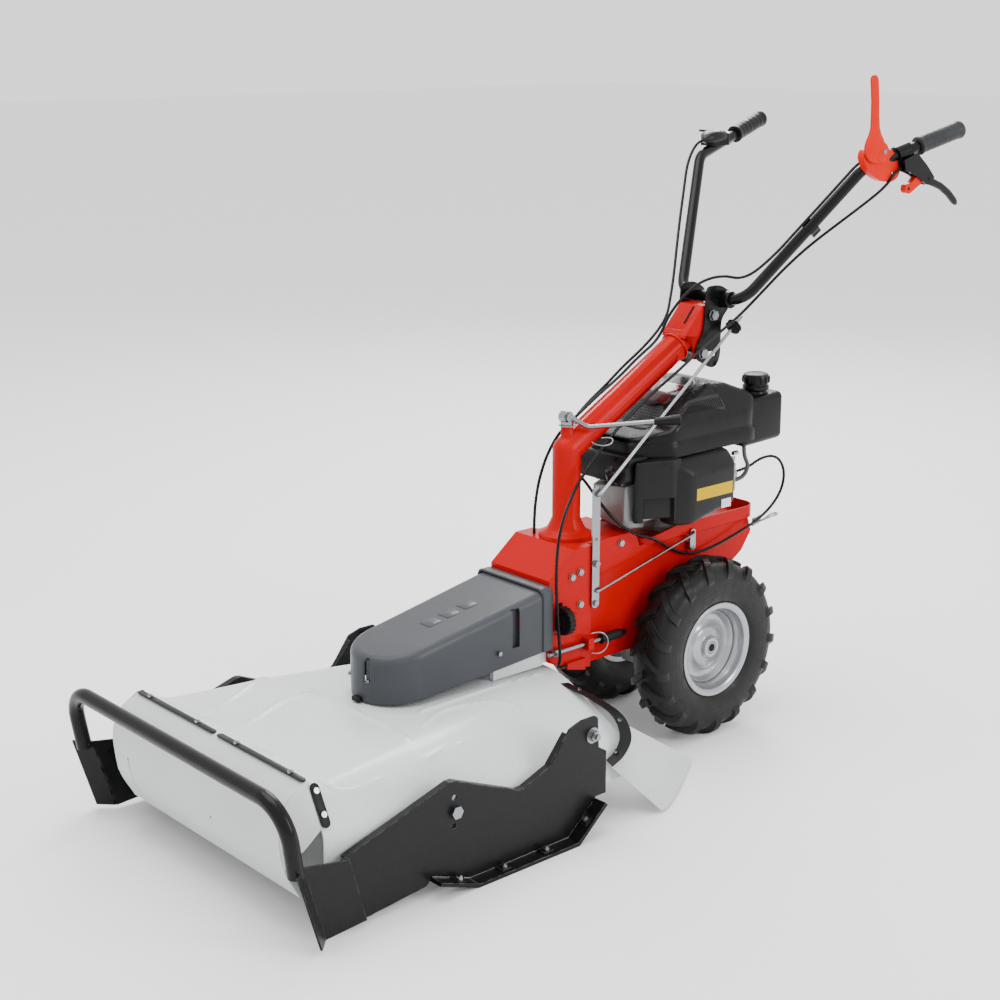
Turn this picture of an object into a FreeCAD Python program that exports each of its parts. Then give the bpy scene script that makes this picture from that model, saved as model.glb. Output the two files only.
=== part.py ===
import FreeCAD, Part
import math
import os

os.makedirs("parts", exist_ok=True)

V = FreeCAD.Vector

# Two-wheeled brush mower, millimetres. +Z is up, the cutting deck points to -Y, the operator stands at +Y,
# and +X is the machine's left-hand side. Every part is drawn with the wheel axle at y = 0, then moved by
# AXLE_Y so that the origin lies on the ground in the middle of the whole machine.
AXLE_Y = 328.31

# Wheels and axle
TYRE_R = 212.0
TYRE_CARCASS_R = 197.0
TYRE_HALF_W = 52.0
WHEEL_X = 150.0
RIM_FLANGE_R = 112.0
RIM_SEAT_R = 100.0
RIM_HALF_W = 44.0
AXLE_R = 12.5
HUB_R = 27.0
LUGS_PER_SIDE = 18
WORM_SHAFT_R = 9.0
WORM_Z = TYRE_R + 54.0 + 12.5

# Chassis
CASE_HALF_W = 80.0
NOSE_HALF_W = 96.0
WALL = 4.0
CASE_TOP_Z = 507.0
TRAY_Z = 470.0
TRAY_HALF_W = 91.0
TRAY_RIM_Z = 499.0

# Steering column and handlebar
COLUMN_Y = -306.0
COLUMN_R = 32.0
SLANT_BASE = (0.0, -306.0, 705.0)
SLANT_END = (0.0, 118.0, 942.0)
TILT_Y = 114.0
TILT_Z = 966.0
SLOT_BOLT = (82.0, 880.0)
SLOT_SWEEP = 28
BRACKET_PIN_R = 6.0
BRACKET_X = 38.0
LEVER_Y = 405.0
LEVER_Z = 1338.0
HAND_Y = 572.0
HAND_Z = 1268.0
BAR_R = 13.0
BAR_LOW = (95.0, 157.0, 999.0)
BAR_HIGH = (251.0, 379.0, 1300.0)
BAR_END = (305.0, 667.0, 1379.0)
GRIP_R = 17.0
GRIP_LENGTH = 136.0

# Gear lever, levers and knobs on the chassis
SELECTOR_R = 7.0
KNOB_X = 113.0
KNOB_Y = -417.0
KNOB_Z = 358.0
KNOB_R = 32.0
KNOB_T = 16.0
LOCK_X = 106.0
LOCK_Z = 285.0
LOCK_R = 5.0
STRAP_Y = -310.0
STRAP_X = 98.0
STRAP_PIVOT_Z = 464.0
STRAP_TOP_Z = 622.0
STRAP_LINK_Z = 400.0
REAR_STRAP_Y = 12.0
REAR_STRAP_X = 92.5
REAR_PIVOT_Z = 438.0
REAR_LINK_Z = 472.0
PUSH_ROD_END = (66.0, 190.0, 957.3)
PUSH_ROD_GUIDE_X = 68.5
GUIDE_Y = 160.0

# Control cables, each from its lever to the part that it works
CABLE_R = 3.5
CLIP_ON_BAR = V(183, 282, 1169)
CLIP_ON_CABLE = V(183, 299, 1157)
CLUTCH_ROUTE = [(283.5, 486, 1300), (283.5, 450, 1300), (272, 408, 1284), (236, 374, 1257), (206, 330, 1197),
                (172, 284, 1137.5), (143, 243, 1075), (117, 196, 1017), (92, 152, 966), (76, 98, 928),
                (70, 40, 893), (60, -24, 849), (46, -87, 808), (40, -150, 766), (41, -215, 724),
                (50, -285, 672), (72, -345, 642), (98, -395, 612), (109, -430, 556), (113, -441, 494),
                (117, -444, 430), (121, -442, 370), (121, -437, 310), (119, -432, 266), (100, -428, 243),
                (100, -396, 243)]
THROTTLE_ROUTE = [(-266, 420, 1338), (-266, 388, 1338), (-261, 345, 1290), (-228, 298, 1220),
                  (-200, 257, 1157), (-164, 210, 1099), (-137, 173, 1033), (-104, 128, 988), (-66, 78, 955),
                  (-52, 28, 922), (-46, -30, 889), (-48, -88, 856), (-44, -144, 822), (-49, -200, 786),
                  (-54, -246, 744), (-50, -264, 690), (-24, -264, 650), (18, -264, 628), (50, -258, 592),
                  (90, -240, 545), (108, -190, 508), (103, -126, 486), (91, -84, 461), (87, -50, 443),
                  (86, -15, 426), (88, 16, 419), (90, 54, 417), (94, 100, 424), (96, 160, 438),
                  (101, 215, 455), (108, 270, 484), (111, 310, 526), (109, 320, 574), (104, 296, 612),
                  (96, 250, 616), (88, 200, 592), (88, 152, 592)]
ENGAGE_ROUTE = [(256.2, 399.8, 1326.4), (249.8, 365.6, 1317), (236, 334, 1282), (204, 293, 1223),
                (171, 251, 1163), (140, 204, 1101), (101, 155, 1050), (62, 116, 1062), (18, 76, 1038),
                (-14, 30, 974), (-22, 5, 914), (-26, -59, 879), (-22, -124, 841), (-26, -189, 806),
                (-26, -249, 771), (-38, -292, 738), (-45, -322, 692), (-51, -340, 640), (-54, -349, 590),
                (-58, -350, 545), (-58, -350, 507)]

# Engine
CRANK_Y = 20.0
CRANK_R = 12.5
ENGINE_BASE_Z = TRAY_Z + WALL
SHROUD_RIM_Z = 684.0

# Belt drive and rotor
ROTOR_Y = -800.0
BELT_Z = 338.0
BELT_HALF_H = 6.0
BELT_DEPTH = 8.0
ENGINE_PULLEY_R = 47.0
ROTOR_PULLEY_R = 60.0
SPINDLE_R = 14.0
BLADE_HALF = 320.0
BLADE_Z = 78.0

# Deck: each station is (y, half width of the flat top, top height, shoulder half width, shoulder height)
DECK_STATIONS = [(-1238.0, 300.0, 285.0, 350.0, 195.0), (-960.0, 280.0, 259.0, 352.0, 150.0),
                 (-650.0, 190.0, 257.0, 352.0, 140.0), (-440.0, 130.0, 250.0, 340.0, 150.0)]
DECK_TOP_Z = 257.0
DECK_SKIRT_Z = 80.0
DECK_HALF_W = 352.0
SHEET = 3.0

# Belt cover
COVER_LEAN = 1.7
COVER_NOSE_R = 98.0
COVER_REAR_Y = -448.0
COVER_REAR_Z = 437.0
COVER_NOSE_Z = 362.0
COVER_EDGE_R = 20.0

# Front flap: five points (y, z) of its hanging curve
FLAP_HALF_W = 300.0
FLAP_CURVE = [(-1238.0, 285.0), (-1284.0, 256.0), (-1302.0, 205.0), (-1294.0, 126.0), (-1261.0, 60.0)]

# Runner frame
PLATE_X = 370.0
PLATE_T = 4.0
JOGGLE = 8.0
FLARE = 29.0
FRAME_PIVOT_Y = -582.0
FRAME_PIVOT_Z = 218.0
FRAME_PIN_R = 6.0
FRONT_BAR_R = 16.0
RUN_CLEAR = 0.05
SKID_BOLTS = [(-950.0, 17.0, -20.0), (-832.0, 4.0, 0.0), (-719.0, 4.0, 0.0), (-604.0, 37.0, 40.0)]

parts = {}


# ---------------------------------------------------------------- helpers

def box(x0, x1, y0, y1, z0, z1):
    return Part.makeBox(x1 - x0, y1 - y0, z1 - z0, V(x0, y0, z0))


def rod(start, end, radius):
    a = V(*start)
    axis = V(*end) - a
    return Part.makeCylinder(radius, axis.Length, a, axis)


def prism_x(yz, x0, x1):
    """Solid with the given outline of (y, z) corners between two x planes."""
    wire = Part.makePolygon([V(x0, y, z) for y, z in yz] + [V(x0, *yz[0])])
    return Part.Face(wire).extrude(V(x1 - x0, 0, 0))


def prism_z(xy, z0, z1):
    """Solid with the given outline of (x, y) corners between two heights."""
    wire = Part.makePolygon([V(x, y, z0) for x, y in xy] + [V(xy[0][0], xy[0][1], z0)])
    return Part.Face(wire).extrude(V(0, 0, z1 - z0))


def rounded_slab(x0, x1, y0, y1, z0, z1, radius):
    slab = box(x0, x1, y0, y1, z0, z1)
    upright = [e for e in slab.Edges if abs(e.tangentAt(e.FirstParameter).z) > 0.99]
    return slab.makeFillet(radius, upright)


def fuse(shapes):
    whole = shapes[0]
    for piece in shapes[1:]:
        whole = whole.fuse(piece)
    return whole.removeSplitter()


def cut(shape, tools):
    for tool in tools:
        shape = shape.cut(tool)
    return shape


def mirror_x(shape):
    return shape.mirror(V(0, 0, 0), V(1, 0, 0))


def both_sides(shape):
    return [shape, mirror_x(shape)]


def turned(shape, centre, axis, degrees):
    copy = shape.copy()
    copy.rotate(V(*centre), V(*axis), degrees)
    return copy


def bend_radius(before, corner, after):
    """Largest even bend at a corner: tangent points at 0.45 of the shorter run beside it."""
    turn = (corner - before).getAngle(after - corner)
    shorter = min((corner - before).Length, (after - corner).Length)
    return 0.45 * shorter / math.tan(turn / 2)


def rounded_path(points, radius=None):
    """Straight runs joined by tangent arcs; without a radius each bend is as large as its runs allow."""
    pts = [V(*p) for p in points]
    edges = []
    radii = []
    here = pts[0]
    for before, corner, after in zip(pts, pts[1:], pts[2:]):
        into = (corner - before).normalize()
        out = (after - corner).normalize()
        half = into.getAngle(out) / 2
        bend = radius or bend_radius(before, corner, after)
        reach = bend * math.tan(half)
        first = corner - into * reach
        last = corner + out * reach
        inward = (out - into).normalize()
        middle = corner + inward * (bend / math.cos(half) - bend)
        edges.append(Part.LineSegment(here, first).toShape())
        edges.append(Part.Arc(first, middle, last).toShape())
        radii.append(bend)
        here = last
    edges.append(Part.LineSegment(here, pts[-1]).toShape())
    return Part.Wire(edges), radii


def round_bar(points, bar_radius, bend=None):
    """Round bar along a rounded path."""
    path, _ = rounded_path(points, bend)
    start = V(*points[0])
    along = (V(*points[1]) - start).normalize()
    section = Part.Wire([Part.Circle(start, along, bar_radius).toShape()])
    return path.makePipeShell([section], True, False)


def pipe(points, outer, inner, bend):
    return round_bar(points, outer, bend).cut(round_bar(points, inner, bend))


def cable(name, points, radius):
    """Round cable; its volume is compared with section times length."""
    path, radii = rounded_path(points)
    shape = round_bar(points, radius)
    ideal = math.pi * radius ** 2 * path.Length
    print(name, "length", round(path.Length), "volume ratio", round(shape.Volume / ideal, 4),
          "radii", [round(r) for r in radii])
    return shape


def turning_x(profile, y, z):
    """Solid of revolution about the line along X through (y, z); profile corners are (x, radius)."""
    wire = Part.makePolygon([V(x, y, z + r) for x, r in profile] + [V(profile[0][0], y, z + profile[0][1])])
    return Part.Face(wire).revolve(V(0, y, z), V(1, 0, 0), 360)


def turning_z(profile, x, y):
    """Solid of revolution about the upright line through (x, y); profile corners are (radius, z)."""
    wire = Part.makePolygon([V(x + r, y, z) for r, z in profile] + [V(x + profile[0][0], y, profile[0][1])])
    return Part.Face(wire).revolve(V(x, y, 0), V(0, 0, 1), 360)


def hexagon(centre, axis, across_flats, height):
    """Hexagonal head standing on the centre point along the axis."""
    a = V(*axis).normalize()
    side = a.cross(V(0, 0, 1))
    if side.Length < 0.1:
        side = V(1, 0, 0)
    side.normalize()
    other = a.cross(side)
    reach = across_flats / math.sqrt(3)
    turns = [math.radians(60 * k) for k in range(6)]
    ring = [V(*centre) + side * (reach * math.cos(t)) + other * (reach * math.sin(t)) for t in turns]
    return Part.Face(Part.makePolygon(ring + [ring[0]])).extrude(a * height)


def bolt(face, axis, shank_r, length):
    """Hex bolt with a washer: the head stands out of the face, the shank goes in."""
    a = V(*axis).normalize()
    p = V(*face)
    washer = Part.makeCylinder(2.1 * shank_r, 1.5, p, a)
    head = hexagon(tuple(p + a * 1.5), axis, 3.4 * shank_r, 1.3 * shank_r)
    shank = Part.makeCylinder(shank_r, length + 1, p + a, a * -1)
    return fuse([washer, head, shank])


def group(shapes):
    return Part.makeCompound([s for shape in shapes for s in shape.Solids])


def keep(name, shape):
    parts[name] = shape


def add_to(name, shapes):
    """Put more separate solids in a node that is already kept."""
    parts[name] = group([parts[name]] + shapes)


# ---------------------------------------------------------------- wheels and axle

def tyre():
    bead = RIM_HALF_W - 5.5
    side = [(bead, RIM_SEAT_R + 0.5), (bead, RIM_FLANGE_R + 1), (TYRE_HALF_W - 6, 118), (TYRE_HALF_W - 2, 136),
            (TYRE_HALF_W, 156), (TYRE_HALF_W - 2, 180), (TYRE_HALF_W - 12, TYRE_CARCASS_R - 4),
            (20, TYRE_CARCASS_R)]
    profile = side + [(-x, r) for x, r in reversed(side)]
    carcass = turning_x(profile, 0, TYRE_R)
    tread = Part.makeCylinder(TYRE_R, 2 * TYRE_HALF_W, V(-TYRE_HALF_W, 0, TYRE_R), V(1, 0, 0))
    lug = prism_z([(-6, -9), (44, -36), (52, -34), (52, -20), (-6, 9)], 2 * TYRE_R - 22, 2 * TYRE_R)
    lug = lug.common(tread)
    pitch = 360.0 / LUGS_PER_SIDE
    lugs = []
    for k in range(LUGS_PER_SIDE):
        lugs.append(turned(lug, (0, 0, TYRE_R), (1, 0, 0), 180 + k * pitch))
        lugs.append(turned(mirror_x(lug), (0, 0, TYRE_R), (1, 0, 0), 180 + (k + 0.5) * pitch))
    return carcass.multiFuse(lugs).translated(V(WHEEL_X, 0, 0))


def rim():
    """Drop-centre rim with a dished disc and a hub tube that fits on the axle."""
    edge = RIM_HALF_W
    seat = RIM_SEAT_R
    profile = [(-edge + 1, RIM_FLANGE_R), (-edge + 5, RIM_FLANGE_R), (-edge + 5, seat), (-24, seat),
               (-17, 84), (14, 84), (21, seat), (edge - 5, seat), (edge - 5, RIM_FLANGE_R),
               (edge - 1, RIM_FLANGE_R), (edge - 1, seat - 4), (24, seat - 4), (17, 80), (8, 80), (4, 60),
               (12, 52), (16, HUB_R), (26, HUB_R), (26, AXLE_R), (-30, AXLE_R), (-30, HUB_R), (10, HUB_R),
               (6, 48), (-3, 58), (1, 80), (-20, 80), (-27, seat - 4), (-edge + 1, seat - 4)]
    return turning_x(profile, 0, TYRE_R).translated(V(WHEEL_X, 0, 0))


def make_wheels():
    pin_x = WHEEL_X - 22
    pin_hole = rod((pin_x, -40, TYRE_R), (pin_x, 40, TYRE_R), 4)
    pin = fuse([rod((pin_x, -38, TYRE_R), (pin_x, 36, TYRE_R), 4),
                rod((pin_x, -38, TYRE_R), (pin_x, -30, TYRE_R), 7).cut(
                    rod((0, 0, TYRE_R), (WHEEL_X + 30, 0, TYRE_R), HUB_R))])
    holes = both_sides(pin_hole)
    axle = rod((-WHEEL_X - 26, 0, TYRE_R), (WHEEL_X + 26, 0, TYRE_R), AXLE_R)
    keep("axle_shaft", cut(axle, holes))
    keep("worm_wheel", turning_x([(-12, AXLE_R), (-12, 50), (-6, 54), (6, 54), (12, 50), (12, AXLE_R)],
                                 0, TYRE_R))
    keep("hub_pins", group(both_sides(pin)))
    keep("rims", group([cut(r, holes) for r in both_sides(rim())]))
    keep("tyres", group(both_sides(tyre())))


# ---------------------------------------------------------------- chassis and gearbox

def chassis_case():
    """Pressed steel case, open underneath, with a wider nose that carries the deck and the belt cover."""
    side = [(-330, CASE_TOP_Z), (-165, CASE_TOP_Z), (-150, TRAY_Z), (222, TRAY_Z), (236, 431), (205, 388),
            (120, 335), (85, 226), (-330, 226)]
    nose = [(-446, 262), (-446, 450), (-372, CASE_TOP_Z), (-318, CASE_TOP_Z), (-318, 222), (-398, 236)]
    side_room = [(-340, CASE_TOP_Z - WALL), (-168, CASE_TOP_Z - WALL), (-153, TRAY_Z - WALL),
                 (218, TRAY_Z - WALL), (232, 431), (202, 392), (116, 338), (81, 200), (-340, 200)]
    nose_room = [(-442, 240), (-442, 448), (-370, CASE_TOP_Z - WALL), (-322, CASE_TOP_Z - WALL),
                 (-322, 200), (-400, 200)]
    shell = prism_x(side, -CASE_HALF_W, CASE_HALF_W).fuse(prism_x(nose, -NOSE_HALF_W, NOSE_HALF_W))
    rooms = [prism_x(side_room, WALL - CASE_HALF_W, CASE_HALF_W - WALL),
             prism_x(nose_room, WALL - NOSE_HALF_W, NOSE_HALF_W - WALL)]
    openings = [box(-84, 84, -450, -438, 306, 420),
                box(-90, 90, -26, 26, 180, TYRE_R + 30),
                rod((0, CRANK_Y, TRAY_Z - 10), (0, CRANK_Y, TRAY_Z + 10), 34),
                rod((0, COLUMN_Y, CASE_TOP_Z - 10), (0, COLUMN_Y, CASE_TOP_Z + 5), 14),
                box(NOSE_HALF_W - WALL - 2, NOSE_HALF_W + 1, KNOB_Y - KNOB_T / 2 - 3, KNOB_Y + KNOB_T / 2 + 3,
                    KNOB_Z - KNOB_R - 3, KNOB_Z + KNOB_R + 3)]
    tab = prism_x([(-396, 236), (-396, 250), (-340, 250), (-340, 222)], 92, 104)
    tab_hole = rod((100, -400, 243), (100, -330, 243), 2.5)
    guide = box(NOSE_HALF_W, NOSE_HALF_W + 22, -345, -327, 272, 298)
    guide_hole = rod((LOCK_X, -350, LOCK_Z), (LOCK_X, -320, LOCK_Z), LOCK_R + RUN_CLEAR)
    lug = box(NOSE_HALF_W - 1, KNOB_X + 12, KNOB_Y + 15, KNOB_Y + 30, KNOB_Z - 13, KNOB_Z + 13)
    lug_hole = rod((KNOB_X, KNOB_Y, KNOB_Z), (KNOB_X, KNOB_Y + 40, KNOB_Z), 5 + RUN_CLEAR)
    return cut(fuse([cut(shell, rooms + openings), tab, guide, lug]), [tab_hole, guide_hole, lug_hole])


def gearbox_case():
    """Two cast halves meeting at x = 0, hollow for the worm gear and bored for the axle and worm shaft."""
    outline = [(-322, 218), (-322, 296), (70, 296), (84, 270), (84, 160), (60, 134), (-60, 134), (-96, 218)]
    cavity = [(-252, 226), (-252, 292), (64, 292), (76, 266), (76, 164), (56, 142), (-56, 142), (-92, 226)]
    axle_bore = rod((-80, 0, TYRE_R), (80, 0, TYRE_R), AXLE_R + RUN_CLEAR)
    worm_bore = rod((0, -290, WORM_Z), (0, 69, WORM_Z), WORM_SHAFT_R + RUN_CLEAR)
    selector_socket = rod((0, COLUMN_Y, 282), (0, COLUMN_Y, 300), SELECTOR_R + RUN_CLEAR)
    half = fuse([prism_x(outline, 0, 56), rod((50, 0, TYRE_R), (CASE_HALF_W, 0, TYRE_R), 24)])
    half = cut(half, [prism_x(cavity, -1, 46), axle_bore, worm_bore, selector_socket])
    return group(both_sides(half))


def make_chassis():
    keep("chassis_case", chassis_case())
    keep("gearbox_case", gearbox_case())
    worm = fuse([rod((0, -278, WORM_Z), (0, 66, WORM_Z), WORM_SHAFT_R),
                 rod((0, -34, WORM_Z), (0, 34, WORM_Z), 12)])
    keep("worm_shaft", worm)
    tray_out = rounded_slab(-TRAY_HALF_W, TRAY_HALF_W, -148, 246, TRAY_Z, TRAY_RIM_Z, 40)
    tray_in = rounded_slab(WALL - TRAY_HALF_W, TRAY_HALF_W - WALL, -144, 242, ENGINE_BASE_Z, TRAY_RIM_Z + 5, 36)
    crank_hole = rod((0, CRANK_Y, TRAY_Z - 10), (0, CRANK_Y, TRAY_Z + 10), 34)
    slope = prism_x([(-160, 480), (-160, 510), (40, 510)], -110, 110)
    keep("engine_tray", cut(tray_out, [tray_in, crank_hole, slope]))
    bolts = [bolt((NOSE_HALF_W, y, z), (1, 0, 0), 4, 8) for y, z in ((-379, 446), (-354, 453), (-353, 378))]
    bolts.append(bolt((CASE_HALF_W, -212, 488), (1, 0, 0), 4, 8))
    sides = [b for piece in bolts for b in both_sides(piece)]
    keep("chassis_bolts", group(sides))
    parts["chassis_case"] = cut(parts["chassis_case"], sides)


def make_column():
    flange = turning_z([(0, CASE_TOP_Z), (62, CASE_TOP_Z), (62, CASE_TOP_Z + 8), (44, CASE_TOP_Z + 18),
                        (COLUMN_R, CASE_TOP_Z + 44), (0, CASE_TOP_Z + 44)], 0, COLUMN_Y)
    upright = rod((0, COLUMN_Y, CASE_TOP_Z), (0, COLUMN_Y, 705), COLUMN_R)
    shoulder = Part.makeSphere(COLUMN_R, V(0, COLUMN_Y, 705))
    slant = rod(SLANT_BASE, SLANT_END, COLUMN_R)
    boss = rod((0, COLUMN_Y, 700), (0, COLUMN_Y, 762), 14)
    head = prism_x([(30, 925), (88, 988), (130, 988), (136, 950), (104, 915), (98, 866), (66, 866), (58, 900)],
                   -36, 36)
    arm = prism_x([(8, 872), (8, 886), (150, 944), (168, 944), (168, 930), (152, 930)], 53, 57)
    foot = box(22, 57, 8, 30, 872, 888)
    room = [rod((0, COLUMN_Y, CASE_TOP_Z - 1), (0, COLUMN_Y, 700), COLUMN_R - WALL),
            rod(SLANT_BASE, (0, 60, 909.6), COLUMN_R - WALL),
            rod((0, COLUMN_Y, 600), (0, COLUMN_Y, 770), SELECTOR_R + RUN_CLEAR),
            box(-30, 30, 40, 99, 850, 960)]
    solid = fuse([flange, upright, shoulder, slant, boss, head, foot, arm])
    bolts = []
    for y, z in ((TILT_Y, TILT_Z), SLOT_BOLT):
        left = bolt((44, y, z), (1, 0, 0), BRACKET_PIN_R, 44)
        bolts.append(fuse([left, mirror_x(left)]))
    guide_centre = (PUSH_ROD_GUIDE_X, GUIDE_Y, 936.8)
    reach = V(*PUSH_ROD_END) - V(STRAP_X + 8, STRAP_Y, STRAP_TOP_Z)
    along = reach.normalize() * 7
    a = tuple(V(*guide_centre) - along)
    b = tuple(V(*guide_centre) + along)
    ring = fuse([rod(a, b, 12), rod(a, tuple(V(*a) + along * 0.5), 15)])
    ring = cut(ring, [rod(tuple(V(*a) - along), tuple(V(*b) + along), 7.5)])
    keep("rod_guide", ring)
    add_to("chassis_bolts", bolts)
    keep("column", cut(solid, room + bolts + [ring]))


def make_gear_lever():
    selector = fuse([rod((0, COLUMN_Y, 283), (0, COLUMN_Y, 768), SELECTOR_R),
                     rod((0, COLUMN_Y, 762.5), (0, COLUMN_Y, 768), 12),
                     rod((-14, COLUMN_Y, 779), (6, COLUMN_Y, 779), 14),
                     rod((6, COLUMN_Y, 779), (11, COLUMN_Y, 779), 10)])
    lever = round_bar([(6, COLUMN_Y + 4, 780), (36, -276, 758), (158, -174, 777)], 5, 25)
    keep("gear_lever", fuse([selector, lever]))
    start = V(148, -182.4, 775.4)
    along = V(158, -174, 777) - V(36, -276, 758)
    along.normalize()
    grip = Part.makeCone(8, 12, 58, start, along)
    keep("gear_grip", grip.cut(parts["gear_lever"]))


def flat_strap(x, y, low, high, width, thick, holes):
    """Upright flat bar with round ends; holes are (height, radius)."""
    bar = fuse([box(x, x + thick, y - width / 2, y + width / 2, low, high),
                rod((x, y, low), (x + thick, y, low), width / 2),
                rod((x, y, high), (x + thick, y, high), width / 2)])
    return cut(bar, [rod((x - 1, y, z), (x + thick + 1, y, z), r) for z, r in holes])


def make_linkage():
    front_pin = fuse([rod((CASE_HALF_W - 6, STRAP_Y, STRAP_PIVOT_Z), (STRAP_X + 4, STRAP_Y, STRAP_PIVOT_Z), 5),
                      rod((CASE_HALF_W, STRAP_Y, STRAP_PIVOT_Z), (STRAP_X - 0.2, STRAP_Y, STRAP_PIVOT_Z), 9),
                      bolt((STRAP_X + 4.2, STRAP_Y, STRAP_PIVOT_Z), (1, 0, 0), 4, 2)])
    rear_pin = fuse([rod((CASE_HALF_W - 6, REAR_STRAP_Y, REAR_PIVOT_Z),
                         (REAR_STRAP_X + 3, REAR_STRAP_Y, REAR_PIVOT_Z), 4),
                     rod((CASE_HALF_W, REAR_STRAP_Y, REAR_PIVOT_Z),
                         (REAR_STRAP_X - 0.2, REAR_STRAP_Y, REAR_PIVOT_Z), 8)])
    add_to("chassis_bolts", [front_pin, rear_pin])
    parts["chassis_case"] = parts["chassis_case"].cut(front_pin).cut(rear_pin)
    x = STRAP_X + 4
    link_hook = rod((STRAP_X - 4, STRAP_Y, STRAP_LINK_Z), (x + 6, STRAP_Y, STRAP_LINK_Z), 3)
    end_nut = fuse([rod((STRAP_X - 2, STRAP_Y, 372), (x, STRAP_Y, 372), 4),
                    hexagon((x, STRAP_Y, 372), (1, 0, 0), 12, 5)])
    strap = flat_strap(STRAP_X, STRAP_Y, 372, 630, 22, 4,
                       [(STRAP_PIVOT_Z, 5 + RUN_CLEAR), (STRAP_LINK_Z, 3 + RUN_CLEAR),
                        (STRAP_TOP_Z, 4 + RUN_CLEAR), (520, 4)])
    keep("strap_lever", fuse([strap, end_nut]))
    keep("rear_strap", flat_strap(REAR_STRAP_X, REAR_STRAP_Y, REAR_PIVOT_Z, REAR_LINK_Z, 18, 4,
                                  [(REAR_PIVOT_Z, 4 + RUN_CLEAR), (REAR_LINK_Z, 5.5)]))
    far = (REAR_STRAP_X + 9.5, REAR_STRAP_Y, REAR_LINK_Z)
    link = round_bar([(STRAP_X - 3, STRAP_Y, STRAP_LINK_Z), (x + 6, STRAP_Y, STRAP_LINK_Z), far,
                      (REAR_STRAP_X - 0.8, REAR_STRAP_Y, REAR_LINK_Z)], 3, 5)
    keep("link_rod", link)
    keep("push_rod", round_bar([(STRAP_X - 3, STRAP_Y, STRAP_TOP_Z), (x + 8, STRAP_Y, STRAP_TOP_Z),
                                PUSH_ROD_END], 4, 6))


def make_knobs():
    y0 = KNOB_Y - KNOB_T / 2
    y1 = KNOB_Y + KNOB_T / 2
    disc = rod((KNOB_X, y0, KNOB_Z), (KNOB_X, y1, KNOB_Z), KNOB_R - 2)
    hub = rod((KNOB_X, y0 - 4, KNOB_Z), (KNOB_X, y1 + 5, KNOB_Z), 12)
    ridge = box(KNOB_X - 2, KNOB_X + 2, y0, y1, KNOB_Z + KNOB_R - 5, KNOB_Z + KNOB_R)
    ridges = [turned(ridge, (KNOB_X, KNOB_Y, KNOB_Z), (0, 1, 0), 20 * k) for k in range(18)]
    screw = rod((KNOB_X, y0 - 8, KNOB_Z), (KNOB_X, KNOB_Y + 31, KNOB_Z), 5)
    keep("clamp_knob", fuse([disc, hub, screw] + ridges))
    slide = fuse([rod((LOCK_X, -455, LOCK_Z), (LOCK_X, -276, LOCK_Z), LOCK_R),
                  hexagon((LOCK_X, -440, LOCK_Z), (0, 1, 0), 15, 14)])
    keep("lock_rod", slide)
    knob = fuse([rod((LOCK_X, -296, LOCK_Z), (LOCK_X, -240, LOCK_Z), 11),
                 Part.makeCone(11, 6, 22, V(LOCK_X, -240, LOCK_Z), V(0, 1, 0))])
    keep("lock_knob", knob.cut(slide))


# ---------------------------------------------------------------- engine

def shroud_body(inset, floor):
    """Faceted dome: an octagonal plan cut by sloping shoulders and a top that rises to the rear."""
    w = 130 - inset
    plan = [(-w, -98 + inset / 2), (-62 + inset / 3, -168 + inset), (62 - inset / 3, -168 + inset),
            (w, -98 + inset / 2), (w, 60), (96 - inset / 2, 126 - inset / 2), (60, 150 - inset),
            (-60, 150 - inset), (inset / 2 - 96, 126 - inset / 2), (-w, 60)]
    drop = inset
    lengthwise = prism_x([(-200, floor), (-200, 708 - drop), (-168 + inset, 714 - drop), (-100, 736 - drop),
                          (-20, 792 - drop), (60, 818 - drop), (200, 816 - drop), (200, floor)], -150, 150)
    across = [(-w, floor), (-w, 748 - drop), (-78, 822 - drop), (78, 822 - drop), (w, 748 - drop), (w, floor)]
    wire = Part.makePolygon([V(x, -200, z) for x, z in across + [across[0]]])
    crosswise = Part.Face(wire).extrude(V(0, 400, 0))
    return prism_z(plan, floor, 840).common(lengthwise).common(crosswise)


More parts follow.
